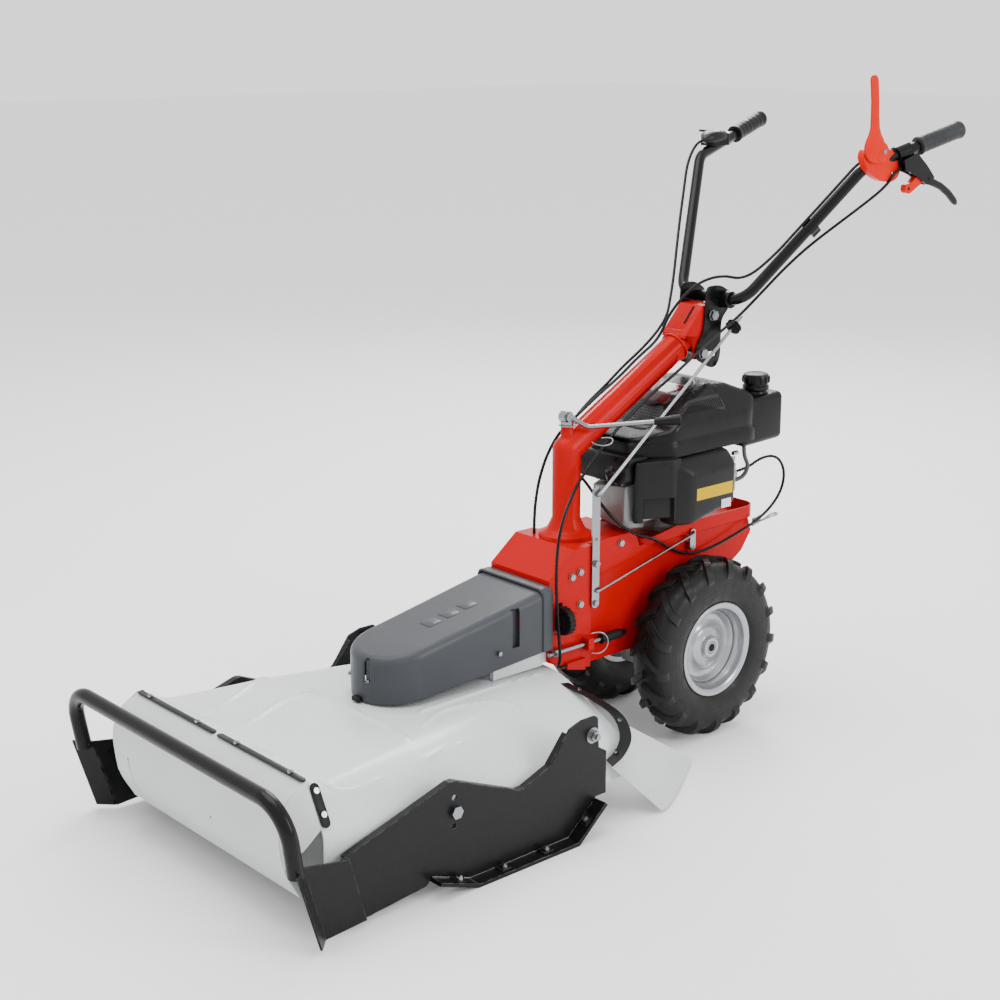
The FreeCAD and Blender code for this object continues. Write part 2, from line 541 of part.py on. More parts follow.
def make_engine():
    crank_bore = rod((0, CRANK_Y, ENGINE_BASE_Z - 1), (0, CRANK_Y, 700), CRANK_R + RUN_CLEAR)
    crankcase = turning_z([(0, ENGINE_BASE_Z), (84, ENGINE_BASE_Z), (84, ENGINE_BASE_Z + 12), (78, 500),
                           (78, 630), (50, 650), (50, SHROUD_RIM_Z), (0, SHROUD_RIM_Z)], 0, CRANK_Y)
    crank_room = turning_z([(0, 492), (68, 492), (68, 622), (0, 622)], 0, CRANK_Y)
    cylinder = box(-52, 52, -150, -30, 512, 636)
    fins = [box(-60, 60, -146, -62, z, z + 4) for z in range(520, 632, 12)]
    bore = rod((0, -149, 574), (0, -40, 574), 34)
    back_plate = shroud_body(0, SHROUD_RIM_Z - 6).common(box(-200, 200, -200, 200, 600, SHROUD_RIM_Z))
    block = cut(fuse([crankcase, cylinder, back_plate] + fins), [crank_room, bore, crank_bore])
    keep("engine_block", block)
    fan = turning_z([(CRANK_R, 690), (88, 690), (88, 712), (60, 704), (30, 704), (30, 736), (CRANK_R, 736)],
                    0, CRANK_Y)
    vane = box(34, 86, CRANK_Y - 1.5, CRANK_Y + 1.5, 702, 728)
    flywheel = fuse([fan] + [turned(vane, (0, CRANK_Y, 0), (0, 0, 1), 30 * k) for k in range(12)])
    shaft = rod((0, CRANK_Y, BELT_Z - 16), (0, CRANK_Y, 742), CRANK_R)
    keep("crankshaft", group([shaft, flywheel]))
    keep("engine_pulley", pulley(ENGINE_PULLEY_R, CRANK_R, CRANK_Y))
    keep("head_cover", rounded_slab(-24, 92, -208, -150, 520, 622, 10))
    shroud = shroud_body(0, SHROUD_RIM_Z).cut(shroud_body(3, SHROUD_RIM_Z - 5))
    rope_hole = rod((-140, 40, 716), (-110, 40, 716), 5 + RUN_CLEAR)
    keep("engine_shroud", shroud.cut(rope_hole))
    grip = fuse([rod((-142, 6, 716), (-142, 74, 716), 8), rod((-142, 40, 716), (-112, 40, 716), 5)])
    keep("starter_grip", grip)
    tank = rounded_slab(16, 122, 150, 290, 655, 776, 22)
    neck = rod((75, 240, 770), (75, 240, 800), 24)
    keep("fuel_tank", tank.fuse(neck).cut(rod((75, 240, 665), (75, 240, 801), 20)))
    cap = fuse([rod((75, 240, 778), (75, 240, 822), 31)] +
               [turned(box(73, 77, 269, 274, 780, 818), (75, 240, 0), (0, 0, 1), 30 * k) for k in range(12)])
    keep("fuel_cap", cap.cut(rod((75, 240, 776), (75, 240, 801), 24 + RUN_CLEAR)))
    keep("air_cleaner_case", rounded_slab(98, 148, -194, -115, 534, 678, 14))
    keep("air_cleaner_cover", rounded_slab(96, 172, -114, 72, 520, 672, 18))
    carburettor = fuse([box(64, 112, 92, 136, 556, 622), rod((88, 136, 590), (88, 152, 590), 16),
                        rod((88, 74, 590), (88, 92, 590), 18), rod((88, 112, 534), (88, 112, 556), 17)])
    keep("carburettor", carburettor.cut(parts["air_cleaner_cover"]))
    hose = [(104, 172, 655), (104, 172, 633), (110, 184, 608), (104, 176, 582), (98, 150, 574), (92, 136, 574)]
    keep("fuel_hose", cable("fuel_hose", hose, 5).cut(parts["carburettor"]))


# ---------------------------------------------------------------- belt drive and rotor

def pulley(outer, bore, y):
    low = BELT_Z - 11
    high = BELT_Z + 11
    root = outer - BELT_DEPTH - 2
    lip = BELT_HALF_H + 0.8
    profile = [(bore, low), (outer + 2, low), (outer + 2, BELT_Z - lip - 2), (root, BELT_Z - lip),
               (root, BELT_Z + lip), (outer + 2, BELT_Z + lip + 2), (outer + 2, high), (bore, high)]
    return turning_z(profile, 0, y)


def belt_loop(front_r, rear_r):
    """Outline of a belt round two pulleys, extruded to the belt's height."""
    span = CRANK_Y - ROTOR_Y
    lean = math.asin((front_r - rear_r) / span)
    z = BELT_Z - BELT_HALF_H

    def point(y, radius, angle):
        return V(radius * math.cos(angle), y + radius * math.sin(angle), z)

    right_front = point(ROTOR_Y, front_r, lean)
    left_front = point(ROTOR_Y, front_r, math.pi - lean)
    right_rear = point(CRANK_Y, rear_r, lean)
    left_rear = point(CRANK_Y, rear_r, math.pi - lean)
    nose = V(0, ROTOR_Y - front_r, z)
    tail = V(0, CRANK_Y + rear_r, z)
    edges = [Part.Arc(left_front, nose, right_front).toShape(), Part.LineSegment(right_front, right_rear).toShape(),
             Part.Arc(right_rear, tail, left_rear).toShape(), Part.LineSegment(left_rear, left_front).toShape()]
    return Part.Face(Part.Wire(edges)).extrude(V(0, 0, 2 * BELT_HALF_H))


def make_rotor():
    belt = belt_loop(ROTOR_PULLEY_R, ENGINE_PULLEY_R)
    keep("drive_belt", belt.cut(belt_loop(ROTOR_PULLEY_R - BELT_DEPTH, ENGINE_PULLEY_R - BELT_DEPTH)))
    keep("rotor_pulley", pulley(ROTOR_PULLEY_R, SPINDLE_R, ROTOR_Y))
    spindle = fuse([rod((0, ROTOR_Y, BLADE_Z - 16), (0, ROTOR_Y, BELT_Z + 16), SPINDLE_R),
                    rod((0, ROTOR_Y, BLADE_Z + 8), (0, ROTOR_Y, BLADE_Z + 34), 34),
                    hexagon((0, ROTOR_Y, BLADE_Z), (0, 0, -1), 46, 16)])
    keep("blade_spindle", spindle)
    blade = box(-BLADE_HALF, BLADE_HALF, ROTOR_Y - 32, ROTOR_Y + 32, BLADE_Z, BLADE_Z + 8)
    for side in (1, -1):
        edge = prism_z([(side * 200, ROTOR_Y - side * 34), (side * 330, ROTOR_Y - side * 34),
                        (side * 330, ROTOR_Y - side * 20), (side * 210, ROTOR_Y - side * 26)],
                       BLADE_Z - 1, BLADE_Z + 10)
        blade = blade.cut(edge)
    keep("cutting_blade", blade.cut(rod((0, ROTOR_Y, 40), (0, ROTOR_Y, 120), SPINDLE_R)))
    housing = turning_z([(SPINDLE_R + RUN_CLEAR, 206), (40, 206), (44, 250), (44, DECK_TOP_Z), (70, DECK_TOP_Z),
                         (70, DECK_TOP_Z + 8), (36, DECK_TOP_Z + 16), (32, 316), (SPINDLE_R + RUN_CLEAR, 316)],
                        0, ROTOR_Y)
    keep("spindle_housing", housing)


# ---------------------------------------------------------------- deck and its covers

def deck_body(inset, overrun, floor):
    wires = []
    for k, (y, top_w, top_z, side_w, side_z) in enumerate(DECK_STATIONS):
        shift = -overrun if k == 0 else overrun if k == len(DECK_STATIONS) - 1 else 0
        ring = [(inset - side_w, floor), (inset - side_w, side_z - inset / 2), (inset / 2 - top_w, top_z - inset),
                (top_w - inset / 2, top_z - inset), (side_w - inset, side_z - inset / 2), (side_w - inset, floor)]
        wires.append(Part.makePolygon([V(x, y + shift, z) for x, z in ring + [ring[0]]]))
    return Part.makeLoft(wires, True, True)


def ribbon(stations, thick):
    """Ruled strip through stations; each is (first corner, second corner), the strip's two long edges."""
    wires = []
    for k, (a, b) in enumerate(stations):
        a = V(*a)
        b = V(*b)
        near = stations[k + 1] if k + 1 < len(stations) else stations[k - 1]
        along = (V(*near[0]) + V(*near[1])) * 0.5 - (a + b) * 0.5
        if k + 1 == len(stations):
            along = along * -1
        if 0 < k < len(stations) - 1:
            last = stations[k - 1]
            along = (V(*near[0]) + V(*near[1])) * 0.5 - (V(*last[0]) + V(*last[1])) * 0.5
        normal = along.cross(b - a).normalize() * (thick / 2)
        wires.append(Part.makePolygon([a - normal, b - normal, b + normal, a + normal, a - normal]))
    return Part.makeLoft(wires, True, True)


def strip_arcs(points, shift):
    """Two arcs through five points of the flap's curve, moved by the given offsets."""
    p = [V(-FLAP_HALF_W, y + dy, z + dz) for (y, z), (dy, dz) in zip(points, shift)]
    return [Part.Arc(p[0], p[1], p[2]).toShape(), Part.Arc(p[2], p[3], p[4]).toShape()], p


def front_flap():
    none = [(0, 0)] * 5
    back = [(0, -3), (2.2, -2.2), (3, 0), (3, 0.3), (2.5, 1.5)]
    outer, p = strip_arcs(FLAP_CURVE, none)
    inner, q = strip_arcs(FLAP_CURVE, back)
    top = Part.LineSegment(p[0], q[0]).toShape()
    end = Part.LineSegment(p[4], q[4]).toShape()
    wire = Part.Wire(Part.__sortEdges__(outer + [end] + inner + [top]))
    return Part.Face(wire).extrude(V(2 * FLAP_HALF_W, 0, 0))


def make_deck():
    deck = deck_body(0, 0, DECK_SKIRT_Z).cut(deck_body(SHEET, 6, DECK_SKIRT_Z - 10))
    keep("deck_shell", cut(deck, [rod((0, ROTOR_Y, 200), (0, ROTOR_Y, 300), 44), parts["spindle_housing"]]))
    lugs = prism_x([(-625, 100), (-545, 100), (-556, 246), (-608, 246)], DECK_HALF_W, DECK_HALF_W + 8)
    lugs = lugs.cut(rod((340, FRAME_PIVOT_Y, FRAME_PIVOT_Z), (380, FRAME_PIVOT_Y, FRAME_PIVOT_Z),
                        FRAME_PIN_R + RUN_CLEAR))
    bridge = box(-88, 88, -458, -446, 262, 302)
    arms = both_sides(box(76, 88, -600, -458, DECK_TOP_Z, 296))
    bracket = fuse([bridge] + arms).cut(parts["deck_shell"])
    keep("deck_bracket", group([bracket] + [lug.cut(parts["deck_shell"]) for lug in both_sides(lugs)]))

    keep("front_flap", front_flap())
    half_strips = both_sides(box(3, 298, -1249, -1229, 285.2, 288.2))
    corner = Part.makePolygon([V(x, -1238, z) for x, z in
                               [(304.4, 281.6), (345.4, 207.8), (348, 209.3), (307, 283.1), (304.4, 281.6)]])
    corners = both_sides(Part.Face(corner).extrude(V(0, 20, 0)))
    keep("flap_strips", group(half_strips + corners).common(box(-500, 500, -1300, -1000, 0, 400)))
    screws = [fuse([rod((x, -1239, 288.2), (x, -1239, 291.5), 6), rod((x, -1239, 291.5), (x, -1239, 293.5), 3)])
              for x in (-250, -70, 70, 250)]
    for x, z in ((314, 270.2), (336, 230.6)):
        start = V(x + 0.6, -1228, z + 0.3)
        head = Part.makeCylinder(6, 3, start, V(0.874, 0, 0.486))
        screws += both_sides(head)
    rear_edge = [((160, -470, 238), (164, -450, 236)), ((238, -455, 222), (244, -433, 218)),
                 ((300, -452, 204), (314, -431, 200)), ((336, -464, 176), (356, -448, 170)),
                 ((348, -486, 150), (368, -480, 143)), ((343, -508, 130), (364, -512, 124))]
    strip = ribbon(rear_edge, 3).cut(parts["deck_shell"])
    strip = max(strip.Solids, key=lambda s: s.Volume)
    add_to("flap_strips", [strip])
    for x, y, z in ((200, -452, 230), (318, -447, 195), (352, -492, 147)):
        screws.append(Part.makeCylinder(5, 5, V(x, y, z), V(0.4, 0.3, 0.86)).cut(strip).Solids[-1])
    keep("deck_screws", group(screws))
    flap = ribbon([((318, -441, 190), (270, -162, 8)), ((346, -457, 164), (345, -278, 7)),
                   ((359, -483, 141), (398, -372, 7)), ((353, -509, 122), (409, -407, 8))], 2.5)
    keep("rear_flap", flap.cut(strip).cut(parts["deck_shell"]))


def cover_body(inset, rear_y):
    """Belt cover: tapering plan with a round nose, flat sloping top with rounded edges."""
    nose_r = COVER_NOSE_R - inset
    nose_y = ROTOR_Y + 8
    low = 240
    lean = math.radians(COVER_LEAN)
    rear_w = nose_r / math.cos(lean) + (rear_y - nose_y) * math.tan(lean)
    side_x = nose_r * math.cos(lean)
    side_y = nose_y - nose_r * math.sin(lean)
    a = V(-rear_w, rear_y, low)
    b = V(-side_x, side_y, low)
    c = V(0, nose_y - nose_r, low)
    d = V(side_x, side_y, low)
    e = V(rear_w, rear_y, low)
    edges = [Part.LineSegment(a, b).toShape(), Part.Arc(b, c, d).toShape(), Part.LineSegment(d, e).toShape(),
             Part.LineSegment(e, a).toShape()]
    body = Part.Face(Part.Wire(edges)).extrude(V(0, 0, 240))
    rise = (COVER_REAR_Z - COVER_NOSE_Z) / (COVER_REAR_Y + 890)
    top_front = COVER_NOSE_Z - inset - 60 * rise
    top_rear = COVER_REAR_Z - inset + 60 * rise
    wedge = prism_x([(-950, 200), (-950, top_front), (COVER_REAR_Y + 60, top_rear), (COVER_REAR_Y + 60, 200)],
                    -200, 200)
    body = body.common(wedge)
    top = max(body.Faces, key=lambda f: f.CenterOfMass.z)
    rim = [edge for edge in top.Edges if edge.CenterOfMass.y < rear_y - 1]
    return body.makeFillet(COVER_EDGE_R - inset, rim)


def make_cover():
    floor = prism_x([(-950, 200), (-950, 258), (-400, 303), (-400, 200)], -200, 200)
    shell = cover_body(0, COVER_REAR_Y).cut(cover_body(SHEET, COVER_REAR_Y + 10)).cut(floor)
    screws = [rod((-62, -862, 300), (-68, -871, 300), 5), rod((107, -600, 325), (112, -600, 325), 5)]
    keep("belt_cover", cut(shell, screws))
    add_to("deck_screws", screws)


# ---------------------------------------------------------------- runner frame

def round_corners(solid, corners, radius):
    """Fillet the edges along X that stand on the given (y, z) corners."""
    edges = []
    for edge in solid.Edges:
        p = edge.CenterOfMass
        level = abs(edge.Vertexes[0].Y - edge.Vertexes[-1].Y) < 0.01
        if level and any(math.hypot(p.y - y, p.z - z) < 1 for y, z in corners):
            edges.append(edge)
    return solid.makeFillet(radius, edges)


def side_plate():
    """Left side plate: main sheet, inward top flange, outward joggle, front panel and flared lead-in."""
    outline = [(-1208, 152), (-955, 228), (-777, 153), (-694, 184), (-646, 248), (-612, 258), (-566, 258),
               (-562, 186), (-540, 172), (-540, 78), (-568, 78), (-646, 10.5), (-909, 10.5), (-1004, 45.5),
               (-1020, 29), (-1170, 14)]
    x = PLATE_X
    main = prism_x(outline, x, x + PLATE_T)
    main = round_corners(main, [(-955, 228), (-777, 153), (-694, 184)], 28)
    main = round_corners(main, [(-646, 248), (-566, 258)], 12)
    edge = [(-1208, 152), (-962, 226), (-948, 226), (-784, 157), (-768, 157), (-700, 182), (-652, 240)]
    flange = [prism_x([a, b, (b[0], b[1] - PLATE_T), (a[0], a[1] - PLATE_T)], x - 12, x + 1)
              for a, b in zip(edge, edge[1:])]
    joggle = prism_x([(-1217, 150), (-1206, 152.6), (-1168, 14.2), (-1179, 14)], x, x + JOGGLE + PLATE_T)
    out = x + JOGGLE
    panel = prism_x([(-1309, 168), (-1212, 151), (-1174, 14), (-1262, 8)], out, out + PLATE_T)
    top = [(out + 4, -1309), (out + FLARE + 4, -1338), (out + FLARE + 1, -1341), (out, -1312)]
    low = [(out + 4, -1262), (out + FLARE + 4, -1291), (out + FLARE + 1, -1294), (out, -1265)]
    rings = [Part.makePolygon([V(px, py, z) for px, py in ring + [ring[0]]])
             for ring, z in ((top, 169), (low, 9))]
    flare = Part.makeLoft(rings, True, True)
    seats = []
    for y, z, lean in SKID_BOLTS:
        foot = fuse([box(x, x + PLATE_T, y - 12, y + 12, 8, 56), box(x, x + 26, y - 12, y + 12, 8, 11)])
        seats.append(turned(foot, (0, y, 4), (1, 0, 0), lean).translated(V(0, 0, z - 4)))
    plate = fuse([main] + flange + [joggle, panel, flare] + seats)
    holes = [rod((x - 20, -949, 192), (x + 20, -949, 192), 6), rod((x - 20, -950, 133), (x + 20, -950, 133), 6)]
    return cut(plate, holes)


def make_frame():
    x = PLATE_X
    plate = side_plate()
    skid_path = [(-1010, 36), (-912, 0), (-642, 0), (-563, 68)]
    upper = [(-1006, 43), (-910, 8), (-645, 8), (-569, 74)]
    skid = prism_x(skid_path + upper[::-1], x + 2, x + 34)
    nuts = []
    for y, z, lean in SKID_BOLTS:
        nut = fuse([rod((x + 17, y, 1), (x + 17, y, 20), 4), hexagon((x + 17, y, 11), (0, 0, 1), 13, 6)])
        nuts.append(turned(nut, (0, y, 4), (1, 0, 0), lean).translated(V(0, 0, z - 4)))
    adjuster = fuse([rod((x - 8, -947, 162), (x + PLATE_T + 2, -947, 162), 7),
                     hexagon((x + PLATE_T, -947, 162), (1, 0, 0), 24, 9)])
    pivot = fuse([rod((DECK_HALF_W + 0.5, FRAME_PIVOT_Y, FRAME_PIVOT_Z), (x + 24, FRAME_PIVOT_Y, FRAME_PIVOT_Z),
                      FRAME_PIN_R),
                  rod((x + PLATE_T, FRAME_PIVOT_Y, FRAME_PIVOT_Z), (x + PLATE_T + 3, FRAME_PIVOT_Y, FRAME_PIVOT_Z),
                      17),
                  hexagon((x + PLATE_T + 3, FRAME_PIVOT_Y, FRAME_PIVOT_Z), (1, 0, 0), 20, 9)])
    fasteners = nuts + [adjuster, pivot]
    skid = cut(skid, [plate] + nuts)
    plate = cut(plate, fasteners)
    leg_low = (384, -1325, 158)
    leg_high = (388, -1346, 295)
    path = [(-leg_low[0], leg_low[1], leg_low[2]), (-leg_high[0], leg_high[1], leg_high[2]), leg_high, leg_low]
    bar = pipe(path, FRONT_BAR_R, FRONT_BAR_R - 2.5, 70)
    plates = both_sides(plate)
    keep("side_plates", group(plates))
    keep("skids", group(both_sides(skid)))
    keep("frame_bolts", group([s for f in fasteners for s in both_sides(f)]))
    bar = cut(bar, plates)
    keep("front_bar", max(bar.Solids, key=lambda s: s.Volume))


# ---------------------------------------------------------------- handlebar and its controls

def handle_bracket():
    outline = [(94, 1034), (140, 1034), (178, 1012), (178, 984), (146, 950), (146, 866), (132, 842), (112, 842),
               (64, 866), (62, 892), (88, 930), (92, 990)]
    plate = prism_x(outline, BRACKET_X, BRACKET_X + 4)
    pivot = rod((30, TILT_Y, TILT_Z), (60, TILT_Y, TILT_Z), BRACKET_PIN_R + RUN_CLEAR)
    slot = []
    for k in range(0, SLOT_SWEEP + 1, 2):
        hole = rod((30, *SLOT_BOLT), (60, *SLOT_BOLT), BRACKET_PIN_R + 0.4)
        slot.append(turned(hole, (0, TILT_Y, TILT_Z), (1, 0, 0), k))
    return cut(plate, [pivot, fuse(slot)])


def make_handlebar():
    mirror = [(-x, y, z) for x, y, z in (BAR_LOW, BAR_HIGH, BAR_END)]
    path = [BAR_END, BAR_HIGH, BAR_LOW] + mirror
    tube = pipe(path, BAR_R, BAR_R - 2, 62)
    core = round_bar(path, BAR_R, 62)
    keep("handlebar", tube)
    end = V(*BAR_END)
    along = (end - V(*BAR_HIGH)).normalize()
    start = end - along * GRIP_LENGTH
    grip = Part.makeCylinder(GRIP_R, GRIP_LENGTH + 4, start, along)
    ribs = [Part.makeCylinder(GRIP_R + 1.2, 5, start + along * (12 + 18 * k), along) for k in range(7)]
    grip = fuse([grip] + ribs).cut(Part.makeCylinder(BAR_R, GRIP_LENGTH, start, along)).cut(core)
    keep("grips", group(both_sides(grip)))
    keep("handle_bracket", group([cut(p, [core]) for p in both_sides(handle_bracket())]))

    disc = rod((268, LEVER_Y, LEVER_Z), (276, LEVER_Y, LEVER_Z), 26)
    notch = box(267, 277, LEVER_Y - 2, LEVER_Y + 2, LEVER_Z + 23, LEVER_Z + 30)
    disc = cut(disc, [turned(notch, (0, LEVER_Y, LEVER_Z), (1, 0, 0), 18 * k) for k in range(-9, 8)])
    clamp = rod((257, 404, 1311), (263, 432, 1318.6), BAR_R + 6)
    keep("lever_housing", fuse([disc, clamp]).cut(core))
    block = rounded_slab(-292, -246, 420, 486, 1322, 1350, 8)
    thumb_pin = rod((-269, 453, 1345), (-269, 453, 1352), 6)
    throttle_housing = fuse([block, thumb_pin]).cut(core)

    blade = prism_x([(LEVER_Y - 14, LEVER_Z - 10), (LEVER_Y + 14, LEVER_Z - 10), (LEVER_Y + 4, 1420),
                     (LEVER_Y - 6, 1502), (LEVER_Y - 14, 1509), (LEVER_Y - 24, 1500), (LEVER_Y - 20, 1420)],
                    277, 285)
    boss = rod((277, LEVER_Y, LEVER_Z), (288, LEVER_Y, LEVER_Z), 17)
    keep("engage_lever", fuse([blade, boss]))

    cheek = prism_x([(470, 1316), (520, 1330), (560, 1300), (590, 1272), (582, 1252), (560, 1256), (520, 1278),
                     (480, 1292)], 271, 276)
    cheeks = [cheek, cheek.translated(V(20, 0, 0))]
    collar = rod((268.2, 472, 1325.5), (275.7, 512, 1336.5), BAR_R + 6)
    bridge = box(271, 296, 486, 512, 1288, 1312)
    hinge = (HAND_Y, HAND_Z)
    pin = rod((270, *hinge), (298, *hinge), 4)
    lever_bracket = fuse(cheeks + [collar, bridge, pin]).cut(core)
    hand = prism_x([(HAND_Y - 12, HAND_Z - 8), (HAND_Y - 8, HAND_Z + 10), (HAND_Y + 14, HAND_Z + 8), (632, 1256),
                    (672, 1232), (706, 1202), (700, 1193), (664, 1220), (626, 1243), (590, 1252)], 277, 290)
    keep("hand_lever", hand.cut(rod((260, *hinge), (300, *hinge), 4 + RUN_CLEAR)))

    thumb = fuse([rod((-269, 453, 1352.3), (-269, 453, 1359), 14), box(-318, -269, 446, 460, 1353, 1358)])
    keep("throttle_lever", thumb)
    leg = (V(*BAR_HIGH) - V(*BAR_LOW)).normalize() * 12
    ring = rod(tuple(CLIP_ON_BAR - leg), tuple(CLIP_ON_BAR + leg), BAR_R + 5)
    saddle = rod(tuple(CLIP_ON_CABLE - leg), tuple(CLIP_ON_CABLE + leg), 9)
    clip = fuse([ring, saddle]).cut(core)
    through = rod(CLUTCH_ROUTE[4], CLUTCH_ROUTE[5], CABLE_R + 0.6)
    keep("control_brackets", group([lever_bracket, throttle_housing, clip.cut(through)]))


def make_cables():
    for name, route in (("clutch_cable", CLUTCH_ROUTE), ("throttle_cable", THROTTLE_ROUTE),
                        ("engage_cable", ENGAGE_ROUTE)):
        keep(name, cable(name, route, CABLE_R))


def export_all():
    whole = Part.makeCompound(list(parts.values())).BoundBox
    print("nodes", len(parts), "x", round(whole.XMin, 1), round(whole.XMax, 1), "y", round(whole.YMin, 1),
          round(whole.YMax, 1), "z", round(whole.ZMin, 1), round(whole.ZMax, 1),
          "centre y", round((whole.YMin + whole.YMax) / 2, 2))
    for name, shape in parts.items():
        shape = shape.translated(V(0, AXLE_Y, 0))
        solids = [s for s in shape.Solids if s.isValid() and s.Volume > 1]
        if len(solids) != len(shape.Solids) or not solids:
            print("CHECK", name, len(shape.Solids), len(solids))
        whole_shape = solids[0] if len(solids) == 1 else Part.makeCompound(solids)
        whole_shape.exportStep("parts/" + name + ".step")


for make in (make_wheels, make_chassis, make_column, make_gear_lever, make_linkage, make_knobs, make_engine,
             make_rotor, make_deck, make_cover, make_frame, make_handlebar, make_cables):
    make()
export_all()
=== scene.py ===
import math

import bmesh
import bpy
import numpy as np
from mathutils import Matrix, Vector


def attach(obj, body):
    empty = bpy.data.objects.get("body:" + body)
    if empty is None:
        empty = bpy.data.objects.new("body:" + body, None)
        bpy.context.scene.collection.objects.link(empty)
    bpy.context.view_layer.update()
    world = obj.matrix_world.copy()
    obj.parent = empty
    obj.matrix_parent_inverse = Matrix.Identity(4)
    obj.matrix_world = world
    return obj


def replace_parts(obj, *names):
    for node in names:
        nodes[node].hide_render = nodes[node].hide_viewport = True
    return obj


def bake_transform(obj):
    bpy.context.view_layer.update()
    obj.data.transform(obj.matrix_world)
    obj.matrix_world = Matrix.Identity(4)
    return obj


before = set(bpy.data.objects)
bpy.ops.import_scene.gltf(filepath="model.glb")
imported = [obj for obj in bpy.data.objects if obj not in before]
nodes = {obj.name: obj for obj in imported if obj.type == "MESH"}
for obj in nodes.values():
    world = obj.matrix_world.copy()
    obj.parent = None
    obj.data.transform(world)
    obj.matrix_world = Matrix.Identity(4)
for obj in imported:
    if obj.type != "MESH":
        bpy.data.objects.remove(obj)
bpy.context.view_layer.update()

MM = 0.001
AXLE_Y = 328.31 * MM
WHEEL_X = 150.0
TYRE_R = 212.0
SIDES = ((1, "left"), (-1, "right"))
ACROSS = (1, 0, 0)
FORE_AFT = (0, 1, 0)
UP = (0, 0, 1)


def at(x, y, z):
    """A point given in millimetres with the wheel axle at y = 0, as a point of the frame in metres."""
    return Vector((x * MM, y * MM + AXLE_Y, z * MM))


# ---------------------------------------------------------------- materials

def connect(tree, value, socket):
    """Fills a node's input, with a link where the value is another node's output."""
    if isinstance(value, bpy.types.NodeSocket):
        tree.links.new(value, socket)
    elif value is not None:
        socket.default_value = value


def add_node(tree, kind, output=0, **inputs):
    """New node with the named inputs filled; gives one of its outputs."""
    node = tree.nodes.new("ShaderNode" + kind)
    for name, value in inputs.items():
        connect(tree, value, node.inputs[name.replace("_", " ")])
    return node.outputs[output]


def add_noise(tree, coords, scale, detail):
    return add_node(tree, "TexNoise", Vector=coords, Scale=scale, Detail=detail)


def add_range(tree, value, low, high, from_low=0.0, from_high=1.0):
    return add_node(tree, "MapRange", Value=value, From_Min=from_low, From_Max=from_high, To_Min=low,
                    To_Max=high)


def add_bump(tree, height, strength, distance, normal):
    return add_node(tree, "Bump", Height=height, Strength=strength, Distance=distance, Normal=normal)


def add_mix(tree, factor, first, second):
    """Colour mix; each of first and second is a socket or an RGB triple."""
    mix = tree.nodes.new("ShaderNodeMix")
    mix.data_type = "RGBA"
    connect(tree, factor, mix.inputs["Factor"])
    for socket, value in ((mix.inputs[6], first), (mix.inputs[7], second)):
        connect(tree, (*value, 1.0) if isinstance(value, tuple) else value, socket)
    return mix.outputs[2]


def add_math(tree, operation, first, second=None):
    node = tree.nodes.new("ShaderNodeMath")
    node.operation = operation
    for socket, value in zip(node.inputs, (first, second)):
        connect(tree, value, socket)
    return node.outputs[0]


def add_length(tree, first, second):
    """Length of a line whose two components are given."""
    squares = [add_math(tree, "POWER", value, 2.0) for value in (first, second)]
    return add_math(tree, "SQRT", add_math(tree, "ADD", *squares))


def split_coords(tree):
    """Outputs X, Y and Z of the point on the object."""
    split = tree.nodes.new("ShaderNodeSeparateXYZ")
    tree.links.new(add_node(tree, "TexCoord", "Object"), split.inputs[0])
    return split.outputs


def principled(tree):
    return next(n for n in tree.nodes if n.type == "BSDF_PRINCIPLED")


def deepen(tree, height, strength, distance):
    """Adds a bump to the one that a finished material has."""
    normal = principled(tree).inputs["Normal"]
    connect(tree, add_bump(tree, height, strength, distance, normal.links[0].from_socket), normal)


def edge_mask(tree, soft_normal):
    """1 on outer edges, 0 on flat faces: how far the rounded normal leans from the true one."""
    lean = tree.nodes.new("ShaderNodeVectorMath")
    lean.operation = "DOT_PRODUCT"
    tree.links.new(soft_normal, lean.inputs[0])
    tree.links.new(add_node(tree, "NewGeometry", "Normal"), lean.inputs[1])
    return add_range(tree, lean.outputs["Value"], 1.0, 0.0, 0.80, 0.97)


def finish(name, color, roughness, metallic=0.0, grain=900.0, bump=0.12, depth=0.0002, tint=0.10, vary=0.10,
           edge_r=0.0010, edge_wear_and_highlight=None, edge_wear_and_highlight_amount=0.5, coat=0.0, dust=None, shine=0.18):
    """General surface: patchy colour, uneven roughness, fine grain, rounded edges with a colour laid in
    patches along them, which on the side plates is a painted highlight.
    """
    mat = bpy.data.materials.new(name)
    mat.use_nodes = True
    tree = mat.node_tree
    tree.nodes.clear()
    coords = add_node(tree, "TexCoord", "Object")
    patches = add_noise(tree, coords, 7.0, 5.0)
    mid = add_noise(tree, coords, 55.0, 6.0)
    fine = add_noise(tree, coords, grain, 3.0)
    dark = tuple(c * (1 - tint) for c in color)
    light = tuple(min(1.0, c * (1 + tint)) for c in color)
    base = add_mix(tree, add_range(tree, patches, 0.0, 1.0, 0.35, 0.65), dark, light)
    bevel = tree.nodes.new("ShaderNodeBevel")
    bevel.samples = 4
    bevel.inputs["Radius"].default_value = edge_r
    soft = bevel.outputs[0]
    # colour laid in patches along the edges; on the side plates it is a painted highlight
    if edge_wear_and_highlight is not None:
        edge_wear_and_highlight_mask = add_math(tree, "MULTIPLY", edge_mask(tree, soft),
                          add_range(tree, mid, 0.0, edge_wear_and_highlight_amount, 0.42, 0.62))
        base = add_mix(tree, edge_wear_and_highlight_mask, base, edge_wear_and_highlight)
    if dust is not None:
        base = add_mix(tree, add_range(tree, mid, 0.0, 0.35, 0.45, 0.75), base, dust)
    shader = add_node(tree, "BsdfPrincipled", Base_Color=base, Metallic=metallic, Specular_IOR_Level=shine,
                      Roughness=add_range(tree, mid, roughness - vary, roughness + vary, 0.3, 0.7),
                      Coat_Weight=coat, Coat_Roughness=0.12, Normal=add_bump(tree, fine, bump, depth, soft))
    tree.links.new(shader, tree.nodes.new("ShaderNodeOutputMaterial").inputs["Surface"])
    return mat


